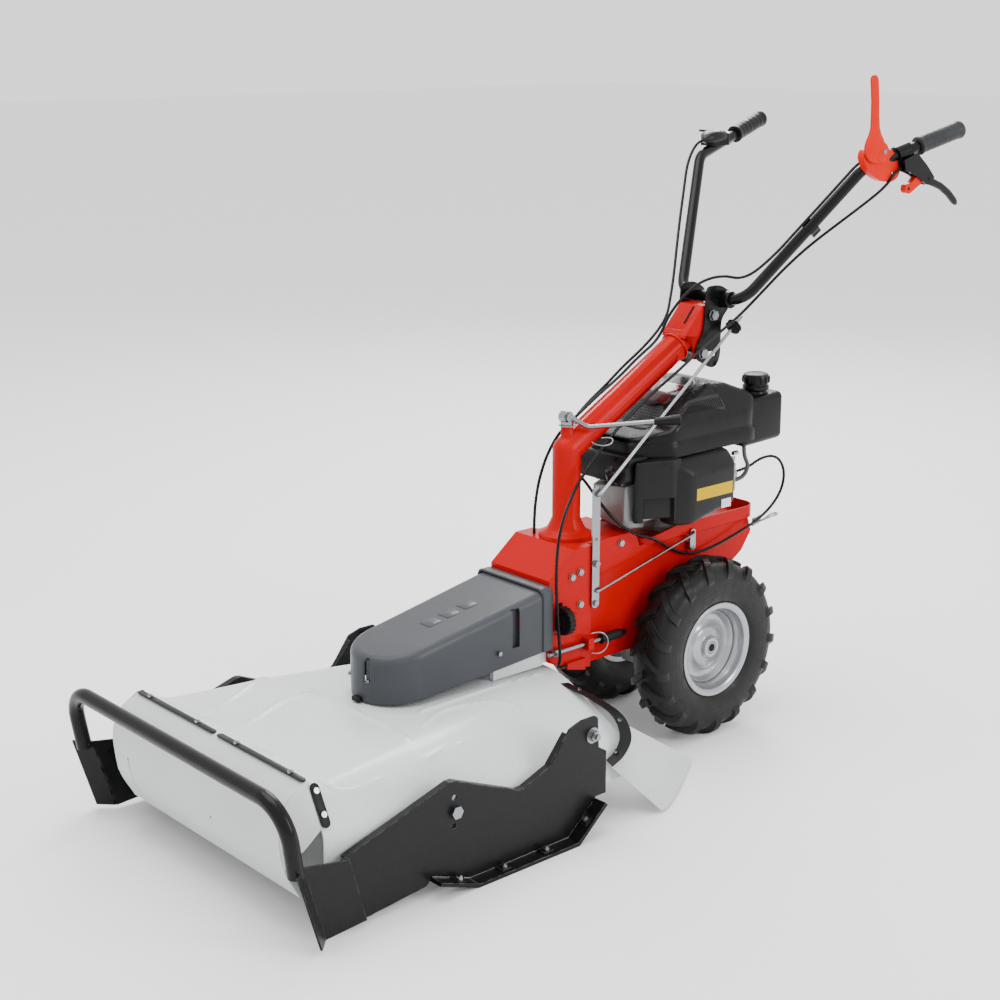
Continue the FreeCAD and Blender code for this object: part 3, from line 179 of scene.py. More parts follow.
def ringed(mat, pitch, strength):
    """Adds fine rings round the wheels' axle, such as the ribs of a tyre's side wall."""
    tree = mat.node_tree
    spot = split_coords(tree)
    radius = add_length(tree, add_math(tree, "SUBTRACT", spot["Y"], AXLE_Y),
                        add_math(tree, "SUBTRACT", spot["Z"], TYRE_R * MM))
    wave = add_math(tree, "SINE", add_math(tree, "MULTIPLY", radius, 2 * math.pi / pitch))
    deepen(tree, wave, strength, 0.0006)
    return mat


def perforated(name, color, pitch):
    """Dark plastic with a staggered grid of round holes, seen from above; the holes are coloured near black
    as painted shade inside them and dented by a bump.
    """
    mat = finish(name, color, 0.5, bump=0.1)
    tree = mat.node_tree
    spot = split_coords(tree)
    row = add_math(tree, "DIVIDE", spot["Y"], pitch * 0.87)
    shift = add_math(tree, "MULTIPLY", add_math(tree, "PINGPONG", add_math(tree, "FLOOR", row), 1.0), 0.5)
    column = add_math(tree, "ADD", add_math(tree, "DIVIDE", spot["X"], pitch), shift)
    off = [add_math(tree, "SUBTRACT", add_math(tree, "FRACT", line), 0.5) for line in (column, row)]
    hole = add_range(tree, add_length(tree, *off), 1.0, 0.0, 0.26, 0.36)
    base = principled(tree).inputs["Base Color"]
    # painted shade: the holes are coloured near black
    connect(tree, add_mix(tree, hole, base.links[0].from_socket, (0.002, 0.002, 0.002)), base)
    deepen(tree, add_math(tree, "MULTIPLY", hole, -1.0), 0.8, 0.002)
    return mat


def grey(level):
    return (level, level, level)


red = finish("red_paint", (0.40, 0.0005, 0.0016), 0.25, bump=0.05, tint=0.03, vary=0.03, shine=0.08,
             edge_wear_and_highlight=(0.24, 0.004, 0.005), edge_wear_and_highlight_amount=0.3, edge_r=0.0016)
red_plastic = finish("red_plastic", (0.56, 0.0075, 0.0010), 0.30, bump=0.06, tint=0.03, vary=0.05,
                     edge_r=0.002, shine=0.08)
black_paint = finish("black_paint", (0.003, 0.003, 0.0033), 0.24, bump=0.05, vary=0.07, tint=0.2,
                     edge_wear_and_highlight=grey(0.16), edge_r=0.0014)
# side plates: the pale colour laid along their edges is a painted highlight
plate_paint = finish("plate_paint", (0.0050, 0.0050, 0.0056), 0.34, bump=0.10, grain=1400, vary=0.08,
                     edge_wear_and_highlight=(0.20, 0.20, 0.21), edge_wear_and_highlight_amount=0.8, edge_r=0.0022, dust=grey(0.011))
skid_paint = finish("black_steel", (0.004, 0.004, 0.0045), 0.36, bump=0.10, edge_wear_and_highlight=(0.30, 0.29, 0.28),
                    edge_wear_and_highlight_amount=0.9, edge_r=0.0018)
steel = finish("zinc_steel", (0.26, 0.27, 0.285), 0.24, metallic=1.0, grain=500, bump=0.06, edge_r=0.0006)
dull_steel = finish("bare_steel", grey(0.42), 0.40, metallic=1.0, grain=400, bump=0.10, tint=0.15)
cast = finish("cast_aluminium", (0.27, 0.27, 0.265), 0.46, metallic=0.9, grain=260, bump=0.35, depth=0.0005,
              tint=0.12, edge_r=0.0020)
guard_metal = finish("head_cover_metal", grey(0.17), 0.40, metallic=0.6, grain=420, bump=0.10, edge_r=0.003)
bronze = finish("bronze", (0.45, 0.28, 0.10), 0.35, metallic=1.0)
iron = finish("pulley_iron", (0.14, 0.14, 0.145), 0.45, metallic=0.8, bump=0.2)
rim_silver = ringed(finish("rim_silver", (0.34, 0.35, 0.365), 0.22, metallic=0.7, grain=700, bump=0.02,
                           tint=0.02, vary=0.02, edge_r=0.0020), 0.024, 0.05)
tyre_rubber = ringed(finish("tyre_rubber", (0.0050, 0.0048, 0.0047), 0.46, bump=0.30, grain=350, depth=0.0004,
                            tint=0.25, vary=0.12, edge_r=0.0022, edge_wear_and_highlight=(0.045, 0.042, 0.040), edge_wear_and_highlight_amount=0.6,
                            dust=(0.009, 0.0087, 0.0085), shine=0.22), 0.0110, 0.10)
rubber = finish("black_rubber", (0.004, 0.004, 0.0045), 0.40, bump=0.20, grain=700, tint=0.2)
grip_rubber = finish("grip_rubber", (0.022, 0.024, 0.027), 0.50, bump=0.30, grain=800, tint=0.2, edge_r=0.002)
cable_black = finish("cable_black", (0.003, 0.003, 0.0033), 0.25, bump=0.05)
hose_grey = finish("hose_grey", (0.06, 0.063, 0.07), 0.40, bump=0.10)
deck_white = finish("deck_white", (0.58, 0.60, 0.605), 0.28, bump=0.05, grain=500, tint=0.015, vary=0.05,
                    edge_r=0.0015, coat=0.1)
flap_white = finish("flap_pale", (0.56, 0.585, 0.575), 0.40, bump=0.10, grain=300, tint=0.02, vary=0.05)
slate = finish("cover_slate", (0.046, 0.049, 0.055), 0.36, bump=0.25, grain=1100, tint=0.05, vary=0.06,
               edge_r=0.0025)
engine_plastic = finish("engine_plastic", (0.0035, 0.0035, 0.0038), 0.33, bump=0.30, tint=0.15, edge_r=0.0025)
engine_soft = finish("engine_plastic_satin", (0.0068, 0.0068, 0.0073), 0.36, bump=0.30, grain=800, tint=0.12,
                     edge_r=0.0025)
louvre_paint = finish("louvre_panel_plastic", (0.020, 0.020, 0.021), 0.45, bump=0.2)
strip_black = finish("strip_black", (0.005, 0.005, 0.0055), 0.40, bump=0.15, grain=600, edge_r=0.0012,
                     edge_wear_and_highlight=grey(0.12))
# near-black finish: painted shade in the shroud's louvre slots and the column head's slot; also used on the
# link pin and hub discs
black_and_hole_shade = finish("black_and_hole_shade", grey(0.004), 0.7, bump=0.05)
dark_red_panel = finish("dark_red_panel", (0.07, 0.004, 0.004), 0.30, bump=0.03, coat=0.5)
yellow_panel = finish("yellow_panel", (0.52, 0.33, 0.0), 0.38, bump=0.03, tint=0.03, shine=0.05)
pale_panel = finish("pale_panel", grey(0.62), 0.40, bump=0.03)
grille = perforated("perforated_grille", (0.030, 0.030, 0.032), 0.0078)
milky = finish("flap_milky", (0.70, 0.72, 0.72), 0.35, bump=0.08, tint=0.02, edge_r=0.001)
for name, value in (("Transmission Weight", 0.35), ("IOR", 1.3)):
    principled(milky.node_tree).inputs[name].default_value = value

NODE_MATERIALS = {
    red: "chassis_case engine_tray column",
    red_plastic: "engage_lever lever_housing",
    black_paint: "handlebar handle_bracket front_bar control_brackets",
    plate_paint: "side_plates",
    skid_paint: "skids cutting_blade",
    steel: "chassis_bolts strap_lever rear_strap push_rod link_rod lock_rod gear_lever deck_screws "
           "frame_bolts hub_pins",
    dull_steel: "axle_shaft crankshaft blade_spindle worm_shaft",
    cast: "gearbox_case engine_block spindle_housing carburettor",
    guard_metal: "head_cover",
    bronze: "worm_wheel",
    iron: "engine_pulley rotor_pulley",
    rim_silver: "rims",
    tyre_rubber: "tyres",
    rubber: "drive_belt rod_guide gear_grip lock_knob clamp_knob hand_lever",
    grip_rubber: "grips",
    cable_black: "clutch_cable throttle_cable engage_cable",
    hose_grey: "fuel_hose",
    deck_white: "deck_shell deck_bracket",
    flap_white: "front_flap",
    slate: "belt_cover",
    engine_plastic: "engine_shroud fuel_tank fuel_cap starter_grip throttle_lever",
    engine_soft: "air_cleaner_case air_cleaner_cover",
    strip_black: "flap_strips",
    milky: "rear_flap",
}
for mat, names in NODE_MATERIALS.items():
    for name in names.split():
        slots = nodes[name].data.materials
        slots.clear()
        slots.append(mat)


# ---------------------------------------------------------------- mesh helpers

def place(name, data, mat=None, body=None):
    """New object in the scene, with its material and the body it rides on where they are given."""
    obj = bpy.data.objects.new(name, data)
    bpy.context.scene.collection.objects.link(obj)
    if mat:
        data.materials.append(mat)
    if body:
        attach(obj, body)
    return obj


def to_mesh(bm, name):
    mesh = bpy.data.meshes.new(name)
    bm.to_mesh(mesh)
    bm.free()
    return mesh


def shade(mesh, sharp):
    """Smooth shading with an edge wherever faces meet at more than the given angle in degrees."""
    mesh.shade_smooth()
    mesh.set_sharp_from_angle(angle=math.radians(sharp))


def mesh_piece(name, bm, mat, sharp=35, body="chassis"):
    bmesh.ops.remove_doubles(bm, verts=bm.verts, dist=1e-6)
    bmesh.ops.dissolve_degenerate(bm, edges=bm.edges, dist=1e-6)
    bmesh.ops.recalc_face_normals(bm, faces=bm.faces)
    mesh = to_mesh(bm, name)
    shade(mesh, sharp)
    return place(name, mesh, mat, body)


def evaluated_mesh(obj):
    deps = bpy.context.evaluated_depsgraph_get()
    return bpy.data.meshes.new_from_object(obj.evaluated_get(deps))


def apply_modifiers(obj):
    mesh = evaluated_mesh(obj)
    obj.modifiers.clear()
    obj.data = mesh


def verts(bm, points):
    return [bm.verts.new(p) for p in points]


def skin(bm, rings, around=True):
    """Faces from each line of vertices to the next; around also joins each line's end to its start."""
    for low, high in zip(rings, rings[1:]):
        for k in range(len(low) if around else len(low) - 1):
            j = (k + 1) % len(low)
            bm.faces.new((low[k], low[j], high[j], high[k]))


def capped_skin(bm, rings):
    """Solid through rings of vertices, with both ends closed."""
    skin(bm, rings)
    bm.faces.new(rings[0][::-1])
    bm.faces.new(rings[-1])


def wrap(bm, lines):
    """Solid through lines of vertices that go round its section, with both ends closed."""
    skin(bm, lines + lines[:1], around=False)
    for end in (0, -1):
        bm.faces.new([line[end] for line in lines])


def prism(near_outline, far_outline):
    bm = bmesh.new()
    near = verts(bm, near_outline)
    far = verts(bm, far_outline)
    bm.faces.new(near)
    bm.faces.new(far[::-1])
    for k in range(len(near)):
        j = (k + 1) % len(near)
        bm.faces.new((near[k], far[k], far[j], near[j]))
    return bm


def round_edges(bm, edges, width, segments, clamp=True):
    bmesh.ops.bevel(bm, geom=edges, offset=width * MM, segments=segments, profile=0.5, affect="EDGES",
                    clamp_overlap=clamp)


def soft_prism(name, outline, direction, mat, edge, segments=3, body="chassis"):
    """Solid with a planar outline, pushed along a direction, with all of its edges rounded."""
    bm = prism(outline, [p + direction for p in outline])
    round_edges(bm, list(bm.edges), edge, segments)
    return mesh_piece(name, bm, mat, body=body)


def prism_x(name, yz, x0, x1, *look, **rest):
    """soft_prism between two values of x, its outline given as (y, z) in mm."""
    outline = [at(x0, y, z) for y, z in yz]
    return soft_prism(name, outline, Vector(((x1 - x0) * MM, 0, 0)), *look, **rest)


def soft_box(name, low, high, *look, **rest):
    (x0, y0, z0), (x1, y1, z1) = low, high
    prism_x(name, [(y0, z0), (y1, z0), (y1, z1), (y0, z1)], x0, x1, *look, **rest)


def loft(name, sections, mat, body, sharp=50):
    """Closed body through rings of equal length."""
    bm = bmesh.new()
    capped_skin(bm, [verts(bm, ring) for ring in sections])
    return mesh_piece(name, bm, mat, sharp, body)


def lathe(name, profile, centre, axis, mat, steps=48, body="chassis"):
    """Solid of revolution; profile is (distance along the axis, radius) in mm, closed on the axis."""
    turn = Vector(axis).to_track_quat("Z", "Y").to_matrix()
    angles = [2 * math.pi * k / steps for k in range(steps)]
    rings = [[centre + turn @ (Vector((radius * math.cos(a), radius * math.sin(a), along)) * MM)
              for a in angles] for along, radius in profile]
    return loft(name, rings, mat, body, 30)


def disc_line(radius, height):
    """Profile of a plain disc for lathe."""
    return [(0, 0), (0, radius), (height, radius), (height, 0)]


def head_line(radius, shoulder, top_radius, height):
    """Profile of a round head for lathe: straight up to the shoulder, then in to the top's radius."""
    return [(0, 0), (0, radius), (shoulder, radius), (height, top_radius), (height, 0)]


def curve_mesh(points, radius=None):
    """Smooth curve drawn by control points, as its centre line or as a tube of a radius in mm."""
    curve = bpy.data.curves.new("curve", "CURVE")
    curve.dimensions = "3D"
    spline = curve.splines.new("NURBS")
    spline.points.add(len(points) - 1)
    for spot, point in zip(spline.points, points):
        spot.co = (*point, 1.0)
    spline.order_u = 3
    spline.use_endpoint_u = True
    spline.resolution_u = 8
    if radius:
        curve.bevel_depth = radius * MM
        curve.bevel_resolution = 3
        curve.use_fill_caps = True
    obj = place("curve", curve)
    mesh = evaluated_mesh(obj)
    bpy.data.objects.remove(obj)
    return mesh


def tube(name, points, radius, mat, body=None):
    """Round wire, cable or hose on one smooth curve."""
    bm = bmesh.new()
    bm.from_mesh(curve_mesh(points, radius))
    bmesh.ops.remove_doubles(bm, verts=bm.verts, dist=1e-6)
    mesh = to_mesh(bm, name)
    shade(mesh, 60)
    return place(name, mesh, mat, body)


def smooth_line(points, per_span=8):
    """Catmull-Rom line through the given points, as an array of samples."""
    pts = [np.array(p, float) for p in points]
    pts = [2 * pts[0] - pts[1]] + pts + [2 * pts[-1] - pts[-2]]
    out = []
    for a, b, c, d in zip(pts, pts[1:], pts[2:], pts[3:]):
        for t in np.linspace(0, 1, per_span, endpoint=False):
            out.append(0.5 * (2 * b + (c - a) * t + (2 * a - 5 * b + 4 * c - d) * t ** 2
                              + (3 * b - a - 3 * c + d) * t ** 3))
    out.append(pts[-2])
    return np.array(out)


def corner(before, tip, after, cut, steps):
    """Points of a rounded corner, as a quadratic curve whose ends lie cut mm from the tip."""
    before, tip, after = (np.array(p, float) for p in (before, tip, after))
    start = tip + (before - tip) * min(0.48, cut / np.linalg.norm(before - tip))
    end = tip + (after - tip) * min(0.48, cut / np.linalg.norm(after - tip))
    t = np.linspace(0, 1, steps)[:, None]
    return (1 - t) ** 2 * start + 2 * t * (1 - t) * tip + t ** 2 * end


def rounded(points, cut, steps=6):
    """Closed outline with all of its corners rounded."""
    ring = []
    for k, point in enumerate(points):
        ring.extend(corner(points[k - 1], point, points[(k + 1) % len(points)], cut, steps).tolist())
    return ring


def grid_sheet(name, rows, mat, thickness, offset=-1.0):
    """Sheet through a grid of points (rows of equal length), given a thickness in mm."""
    bm = bmesh.new()
    skin(bm, [verts(bm, row) for row in rows], around=False)
    obj = place(name, to_mesh(bm, name))
    solid = obj.modifiers.new("thickness", "SOLIDIFY")
    solid.thickness = thickness * MM
    solid.offset = offset
    apply_modifiers(obj)
    shade(obj.data, 40)
    obj.data.materials.append(mat)
    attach(obj, "chassis")
    return obj


def between(first, second, count):
    """Row of points from one point in mm to another."""
    return [at(*(first + (second - first) * t)) for t in np.linspace(0, 1, count)]


def cut_away(obj, cutters, sharp=30):
    """Takes the cutters' shapes out of a piece."""
    for tool in cutters:
        boolean = obj.modifiers.new("pocket", "BOOLEAN")
        boolean.operation = "DIFFERENCE"
        boolean.solver = "EXACT"
        boolean.object = tool
    apply_modifiers(obj)
    for tool in cutters:
        bpy.data.objects.remove(tool)
    shade(obj.data, sharp)


def carved(node, cutters, mat):
    """Copy of one of the chassis's CAD nodes with pockets cut in it, standing for the node."""
    bm = bmesh.new()
    bm.from_mesh(nodes[node].data)
    bmesh.ops.remove_doubles(bm, verts=bm.verts, dist=1e-5)
    name = node + "_carved"
    obj = place(name, to_mesh(bm, name))
    cut_away(obj, cutters, 28)
    obj.data.materials.clear()
    obj.data.materials.append(mat)
    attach(obj, "chassis")
    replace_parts(obj, node)


def cutter(bm):
    return place("cutter", to_mesh(bm, "cutter"))


def cutter_box(low, high):
    """Plain box for cutting, from two corners in mm."""
    bm = bmesh.new()
    bmesh.ops.create_cube(bm, size=1.0)
    bmesh.ops.scale(bm, vec=[(b - a) * MM for a, b in zip(low, high)], verts=bm.verts)
    bmesh.ops.translate(bm, vec=(at(*low) + at(*high)) / 2, verts=bm.verts)
    return cutter(bm)


def cutter_rod(start, end, radius):
    """Plain round bar for cutting, between two points in mm."""
    a = at(*start)
    b = at(*end)
    bm = bmesh.new()
    bmesh.ops.create_cone(bm, cap_ends=True, segments=32, radius1=radius * MM, radius2=radius * MM,
                          depth=(b - a).length)
    bmesh.ops.transform(bm, matrix=(b - a).to_track_quat("Z", "Y").to_matrix().to_4x4(), verts=bm.verts)
    bmesh.ops.translate(bm, vec=(a + b) / 2, verts=bm.verts)
    return cutter(bm)


def strip(name, start, end, width, thick):
    """Flat strip with round ends from start to end, its width lying fore and aft."""
    a = at(*start)
    b = at(*end)
    along = (b - a).normalized()
    side = Vector(FORE_AFT)
    half = width / 2 * MM
    outline = []
    for centre, turn in ((b, -90), (a, 90)):
        for k in range(0, 181, 20):
            angle = math.radians(turn + k)
            outline.append(centre + along * half * math.cos(angle) + side * half * math.sin(angle))
    normal = along.cross(side)
    if normal.z < 0:
        normal = -normal
    return soft_prism(name, outline, normal * thick * MM, strip_black, 0.6, 2)


def hull_piece(name, points, edge, mat, segments=4):
    """Convex solid over given corner points in mm, with its sharper edges rounded."""
    bm = bmesh.new()
    verts(bm, [at(*p) for p in points])
    bmesh.ops.convex_hull(bm, input=bm.verts)
    bmesh.ops.dissolve_limit(bm, angle_limit=math.radians(3), verts=bm.verts, edges=bm.edges)
    sharp = [e for e in bm.edges if e.calc_face_angle(0.0) > math.radians(9)]
    round_edges(bm, sharp, edge, segments)
    return mesh_piece(name, bm, mat, 40)


# ---------------------------------------------------------------- cutter deck

# front to rear: y, half width of the top, its height, half width at the side, height of the side's edge,
# rounding of the shoulder, rounding of the side's edge
DECK_LINE = np.array([
    (-1238, 300, 285, 350, 195, 10, 10), (-1222, 299.5, 276, 350, 192, 14, 12),
    (-1205, 299, 268.5, 350, 188, 20, 14), (-1170, 296, 261, 351, 181, 30, 20),
    (-1060, 288, 259.5, 352, 165, 46, 30), (-960, 280, 259, 352, 150, 56, 34),
    (-650, 190, 257, 352, 140, 60, 40), (-440, 130, 250, 340, 150, 50, 34)])
DECK_FRONT, DECK_REAR = -1238, -440
SKIRT_FOOT = 80
RIBS = [
    [(-208, -1205), (-133, -1187), (-61, -1160), (-66, -1107), (-104, -1022), (-120, -941), (-78, -927),
     (187, -933), (219, -951)],
    [(58, -1196), (123, -1185)],
    [(236, -1224), (284, -1194), (300, -1177), (308, -1141), (300, -1062)],
    [(286, -964), (266, -857), (253, -745), (224, -662), (209, -635)],
    [(182, -868), (152, -788), (165, -688), (194, -635)],
    [(124, -825), (112, -482)],
    [(-312, -1232), (-224, -1195), (-181, -1157), (-191, -1083), (-271, -945)],
    [(-142, -822), (-115, -818)],
]
RIB_HALF_WIDTH = 8.0
RIB_RISE = 4.6


def rib_height(x, y):
    """Height of the pressed ribs over points given in mm: round-topped ridges along the rib lines."""
    near = np.full(x.shape, 1e9)
    for line in RIBS:
        soft = smooth_line(line, 5)
        for (ax, ay), (bx, by) in zip(soft, soft[1:]):
            dx = bx - ax
            dy = by - ay
            t = np.clip(((x - ax) * dx + (y - ay) * dy) / (dx * dx + dy * dy), 0, 1)
            near = np.minimum(near, np.hypot(x - ax - t * dx, y - ay - t * dy))
    return RIB_RISE * 0.5 * (1 + np.cos(np.pi * np.clip(near / RIB_HALF_WIDTH, 0, 1)))


def deck_section(y):
    """Half cross-section of the deck at y, from the skirt's bottom edge to the middle of the top."""
    top_w, top_z, side_w, side_z, shoulder, edge = (np.interp(y, DECK_LINE[:, 0], DECK_LINE[:, k])
                                                     for k in range(1, 7))
    foot = (side_w, SKIRT_FOOT)
    side = (side_w, side_z)
    top = (top_w, top_z)
    middle = (0, top_z)
    lower = corner(foot, side, top, edge, 9)
    upper = corner(side, top, middle, shoulder, 13)
    return np.concatenate([np.linspace(foot, lower[0], 6)[:-1], lower[:-1],
                           np.linspace(lower[-1], upper[0], 24)[:-1], upper[:-1],
                           np.linspace(upper[-1], middle, 66)])


def deck_row(y):
    half = deck_section(y)
    x = np.concatenate([-half[:, 0], half[-2::-1, 0]])
    z = np.concatenate([half[:, 1], half[-2::-1, 1]])
    z = z + rib_height(x, np.full(x.shape, y)) * np.clip((z - 200) / 40, 0, 1)
    return [at(px, y, pz) for px, pz in zip(x, z)]


deck_rows = [deck_row(y) for y in np.linspace(DECK_FRONT, DECK_REAR, 200)]
deck_skin = grid_sheet("deck_skin", deck_rows, deck_white, 3)
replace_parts(deck_skin, "deck_shell")

FLAP_LINE = [(-1238, 285), (-1284, 256), (-1302, 205), (-1294, 126), (-1261, 60)]
flap_profile = smooth_line(FLAP_LINE, 12)
flap_rows = [[at(x, y, z) for y, z in flap_profile] for x in np.linspace(-299, 299, 61)]
flap = grid_sheet("front_flap_sheet", flap_rows, flap_white, 3)
SLIT_X, SLIT_TOP = -245.3, 170
HOLE_X, HOLE_Z = 62, 150
cut_away(flap, [cutter_box((-246.6, -1330, 40), (-244, -1240, 168)),
                cutter_rod((SLIT_X, -1330, SLIT_TOP), (SLIT_X, -1270, SLIT_TOP), 3.2),
                cutter_rod((HOLE_X, -1330, HOLE_Z), (HOLE_X, -1270, HOLE_Z), 3.0)])
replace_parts(flap, "front_flap")

RAG_TOP = [(318, -441, 190), (346, -457, 164), (359, -483, 141), (353, -509, 122)]
RAG_FOOT = [(270, -162, 8), (345, -278, 7), (398, -372, 7), (409, -407, 8)]
rag_rows = [between(top, foot, 17) for top, foot in zip(smooth_line(RAG_TOP, 12), smooth_line(RAG_FOOT, 12))]
rag = grid_sheet("rear_flap_sheet", rag_rows, milky, 2.5, 0.0)
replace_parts(rag, "rear_flap")

for side, word in SIDES:
    half_strip = strip("front_strip_" + word, (side * 13, -1239, 285.2), (side * 288, -1239, 285.2), 14, 3)
    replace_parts(half_strip, "flap_strips")
    strip("corner_strip_" + word, (side * 309, -1228, 273.6), (side * 341, -1228, 216), 20, 2.6)
STRIP_INNER = [(160, -470, 238), (238, -455, 222), (300, -452, 204), (336, -464, 176), (348, -486, 150),
               (343, -508, 130)]
STRIP_OUTER = [(164, -450, 236), (244, -433, 218), (314, -431, 200), (356, -448, 170), (368, -480, 143),
               (364, -512, 124)]
strip_rows = [between(a, b, 5) for a, b in zip(smooth_line(STRIP_INNER, 10), smooth_line(STRIP_OUTER, 10))]
grid_sheet("rear_strip", strip_rows, strip_black, 3, 0.0)


# ---------------------------------------------------------------- belt cover

NOSE_Y = -792  # the middle of the cover's round front end


def cover_top(y):
    return 437 + (y + 448) * 75 / 442


def cover_mark(name, y):
    """Raised square with round corners lying on the sloping top of the belt cover."""
    middle_x, half, corner_r, rise = 6, 18, 5, 1.4
    outline = []
    for sx, sy, turn in ((1, 1, 0), (-1, 1, 90), (-1, -1, 180), (1, -1, 270)):
        for k in range(0, 91, 30):
            angle = math.radians(turn + k)
            spot_x = middle_x + sx * (half - corner_r) + corner_r * math.cos(angle)
            spot_y = y + sy * (half - corner_r) + corner_r * math.sin(angle)
            outline.append(at(spot_x, spot_y, cover_top(spot_y) - 0.5))
    soft_prism(name, outline, Vector((0, 0, rise * MM)), slate, 0.4, 2)


def nose_spot(reach, z):
    """Point on the nose's line through the screw pocket, 12 degrees left of straight ahead."""
    turn = math.radians(12)
    return (math.sin(turn) * reach, NOSE_Y - math.cos(turn) * reach, z)


slot_spans = [sorted((side * 95, side * 115)) for side, word in SIDES]
carved("belt_cover", [cutter_rod(nose_spot(100, 308), nose_spot(100, 400), 9)] +
       [cutter_box((x0, -560, 326), (x1, -540, 412)) for x0, x1 in slot_spans], slate)
for side, word in SIDES:
    x0, x1 = sorted((side * 92, side * 94))
    prism_x("cover_slot_floor_" + word, [(-566, 320), (-534, 320), (-534, 410), (-566, 405)], x0, x1, slate,
            0.5)
lathe("cover_pocket_floor", disc_line(12, 52), at(*nose_spot(82, 303)), UP, slate, 24)
for k, y in enumerate((-705, -655, -605)):
    cover_mark("cover_mark_%d" % k, y)
lathe("cover_pocket_screw", [(0, 0), (0, 6.5), (1.2, 6.5), (1.2, 4.5), (4.5, 4.2), (4.5, 0)],
      at(*nose_spot(94, 308)), UP, steel, 24)
soft_box("cover_tab", (-16, -902, 262), (6, -884, 272), strip_black, 1.5)


def cover_section(y, grow):
    """Outline of the belt cover across its length at y, from the left foot over the top to the right one."""
    lean = math.radians(1.7)
    half = 98 / math.cos(lean) + (y - NOSE_Y) * math.tan(lean) + grow
    top = cover_top(y) + grow
    foot = 262 + (y + 900) * 0.08
    points = [(half, foot)] + corner((half, foot), (half, top), (0, top), 20, 9).tolist()
    return points + [(-x, z) for x, z in points[::-1]]


def cover_band(name, y0, y1, rise):
    """Raised band round the belt cover between two places along its length."""
    inner = cover_section(y1, -1.0)
    outer = cover_section(y1, rise)
    bm = bmesh.new()
    lines = []
    for y, spread in ((y0, 0.15), (y0 + 2, 1.0), (y1, 1.0), (y1, 0.0), (y0, 0.0)):
        lines.append(verts(bm, [at(ix + (ox - ix) * spread, y, iz + (oz - iz) * spread)
                                for (ix, iz), (ox, oz) in zip(inner, outer)]))
    wrap(bm, lines)
    mesh_piece(name, bm, slate, 40)


cover_band("cover_rear_lip", -476, -448, 3.0)


# ---------------------------------------------------------------- engine

def soft_min(a, b, blend):
    """Smaller of two heights with a soft change from one to the other."""
    h = np.clip(0.5 + 0.5 * (b - a) / blend, 0, 1)
    return b + (a - b) * h - blend * h * (1 - h)


def shroud_height(x, y):
    """Height of the engine cover's top over points given in mm."""
    x = np.abs(np.asarray(x, float))
    lengthwise = np.interp(y, [-200, -168, -100, -20, 60, 120, 200], [702, 714, 736, 792, 817, 813, 780])
    across = 822 + (748 - 822) * (x - 78) / (130 - 78)
    return soft_min(lengthwise, across, 12.0)


SHROUD_PLAN = [
    (-130, -98), (-62, -168), (62, -168), (130, -98), (130, 165), (112, 196), (40, 196), (-60, 150),
    (-96, 126), (-130, 60)]
SHROUD_EDGE_R = 9


def plan_ring(steps):
    """Evenly spaced points round the engine cover's plan."""
    ring = rounded(SHROUD_PLAN, 16, 7)
    ring = np.array(ring + ring[:1])
    run = np.concatenate([[0], np.cumsum(np.hypot(*np.diff(ring, axis=0).T))])
    spots = np.linspace(0, run[-1], steps, endpoint=False)
    return np.stack([np.interp(spots, run, ring[:, 0]), np.interp(spots, run, ring[:, 1])], 1)


def shroud_piece():
    ring = plan_ring(160)
    bm = bmesh.new()
    levels = []
    for share in list(np.linspace(0.03, 0.9, 24)) + [0.93, 0.955, 0.975, 0.99, 1.0]:
        spot = ring * share
        gap = np.clip((1 - share) * np.hypot(*ring.T) / SHROUD_EDGE_R, 0, 1)
        fall = SHROUD_EDGE_R * (1 - np.sqrt(np.clip(1 - (1 - gap) ** 2, 0, 1)))
        z = shroud_height(spot[:, 0], spot[:, 1]) - fall
        levels.append(verts(bm, [at(x, y, h) for (x, y), h in zip(spot, z)]))
    for z, share in ((716, 1.0), (708, 1.0), (705, 1.02), (701, 1.03), (676, 1.03), (676, 0.97), (700, 0.97)):
        levels.append(verts(bm, [at(x, y, z) for x, y in ring * share]))
    capped_skin(bm, levels)
    return mesh_piece("engine_shroud_shell", bm, engine_plastic, 50)


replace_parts(shroud_piece(), "engine_shroud")


def shroud_patch(name, outline, lift, thick, mat, steps=26, edge_drop=1.2):
    """Thin panel with the given plan outline lying over the engine cover's top."""
    outline = np.array(outline, float)
    middle = outline.mean(axis=0)
    bm = bmesh.new()
    levels = []
    for share in list(np.linspace(0.02, 0.94, steps)) + [1.0, 1.012]:
        spot = middle + (outline - middle) * share
        fall = 0.0 if share < 0.99 else edge_drop if share < 1.01 else thick + lift + 1.0
        z = shroud_height(spot[:, 0], spot[:, 1]) + lift - fall
        levels.append(verts(bm, [at(x, y, h) for (x, y), h in zip(spot, z)]))
    capped_skin(bm, levels)
    mesh_piece(name, bm, mat, 45)


grille_plan = rounded([(-78, -96), (-52, -120), (52, -120), (78, -96), (80, 40), (56, 96), (-56, 96),
                       (-80, 40)], 14)
shroud_patch("shroud_grille", grille_plan, 1.6, 1.6, grille)
disc = [(10 + 62 * math.cos(a), 8 + 62 * math.sin(a))
        for a in np.linspace(0, 2 * math.pi, 64, endpoint=False)]
shroud_patch("recoil_cap", disc, 4.6, 4.6, engine_plastic, edge_drop=2.5)
badge = rounded([(-30, -44), (50, -44), (50, 30), (-30, 30)], 14)
shroud_patch("recoil_badge", badge, 5.6, 1.0, dark_red_panel, steps=6)


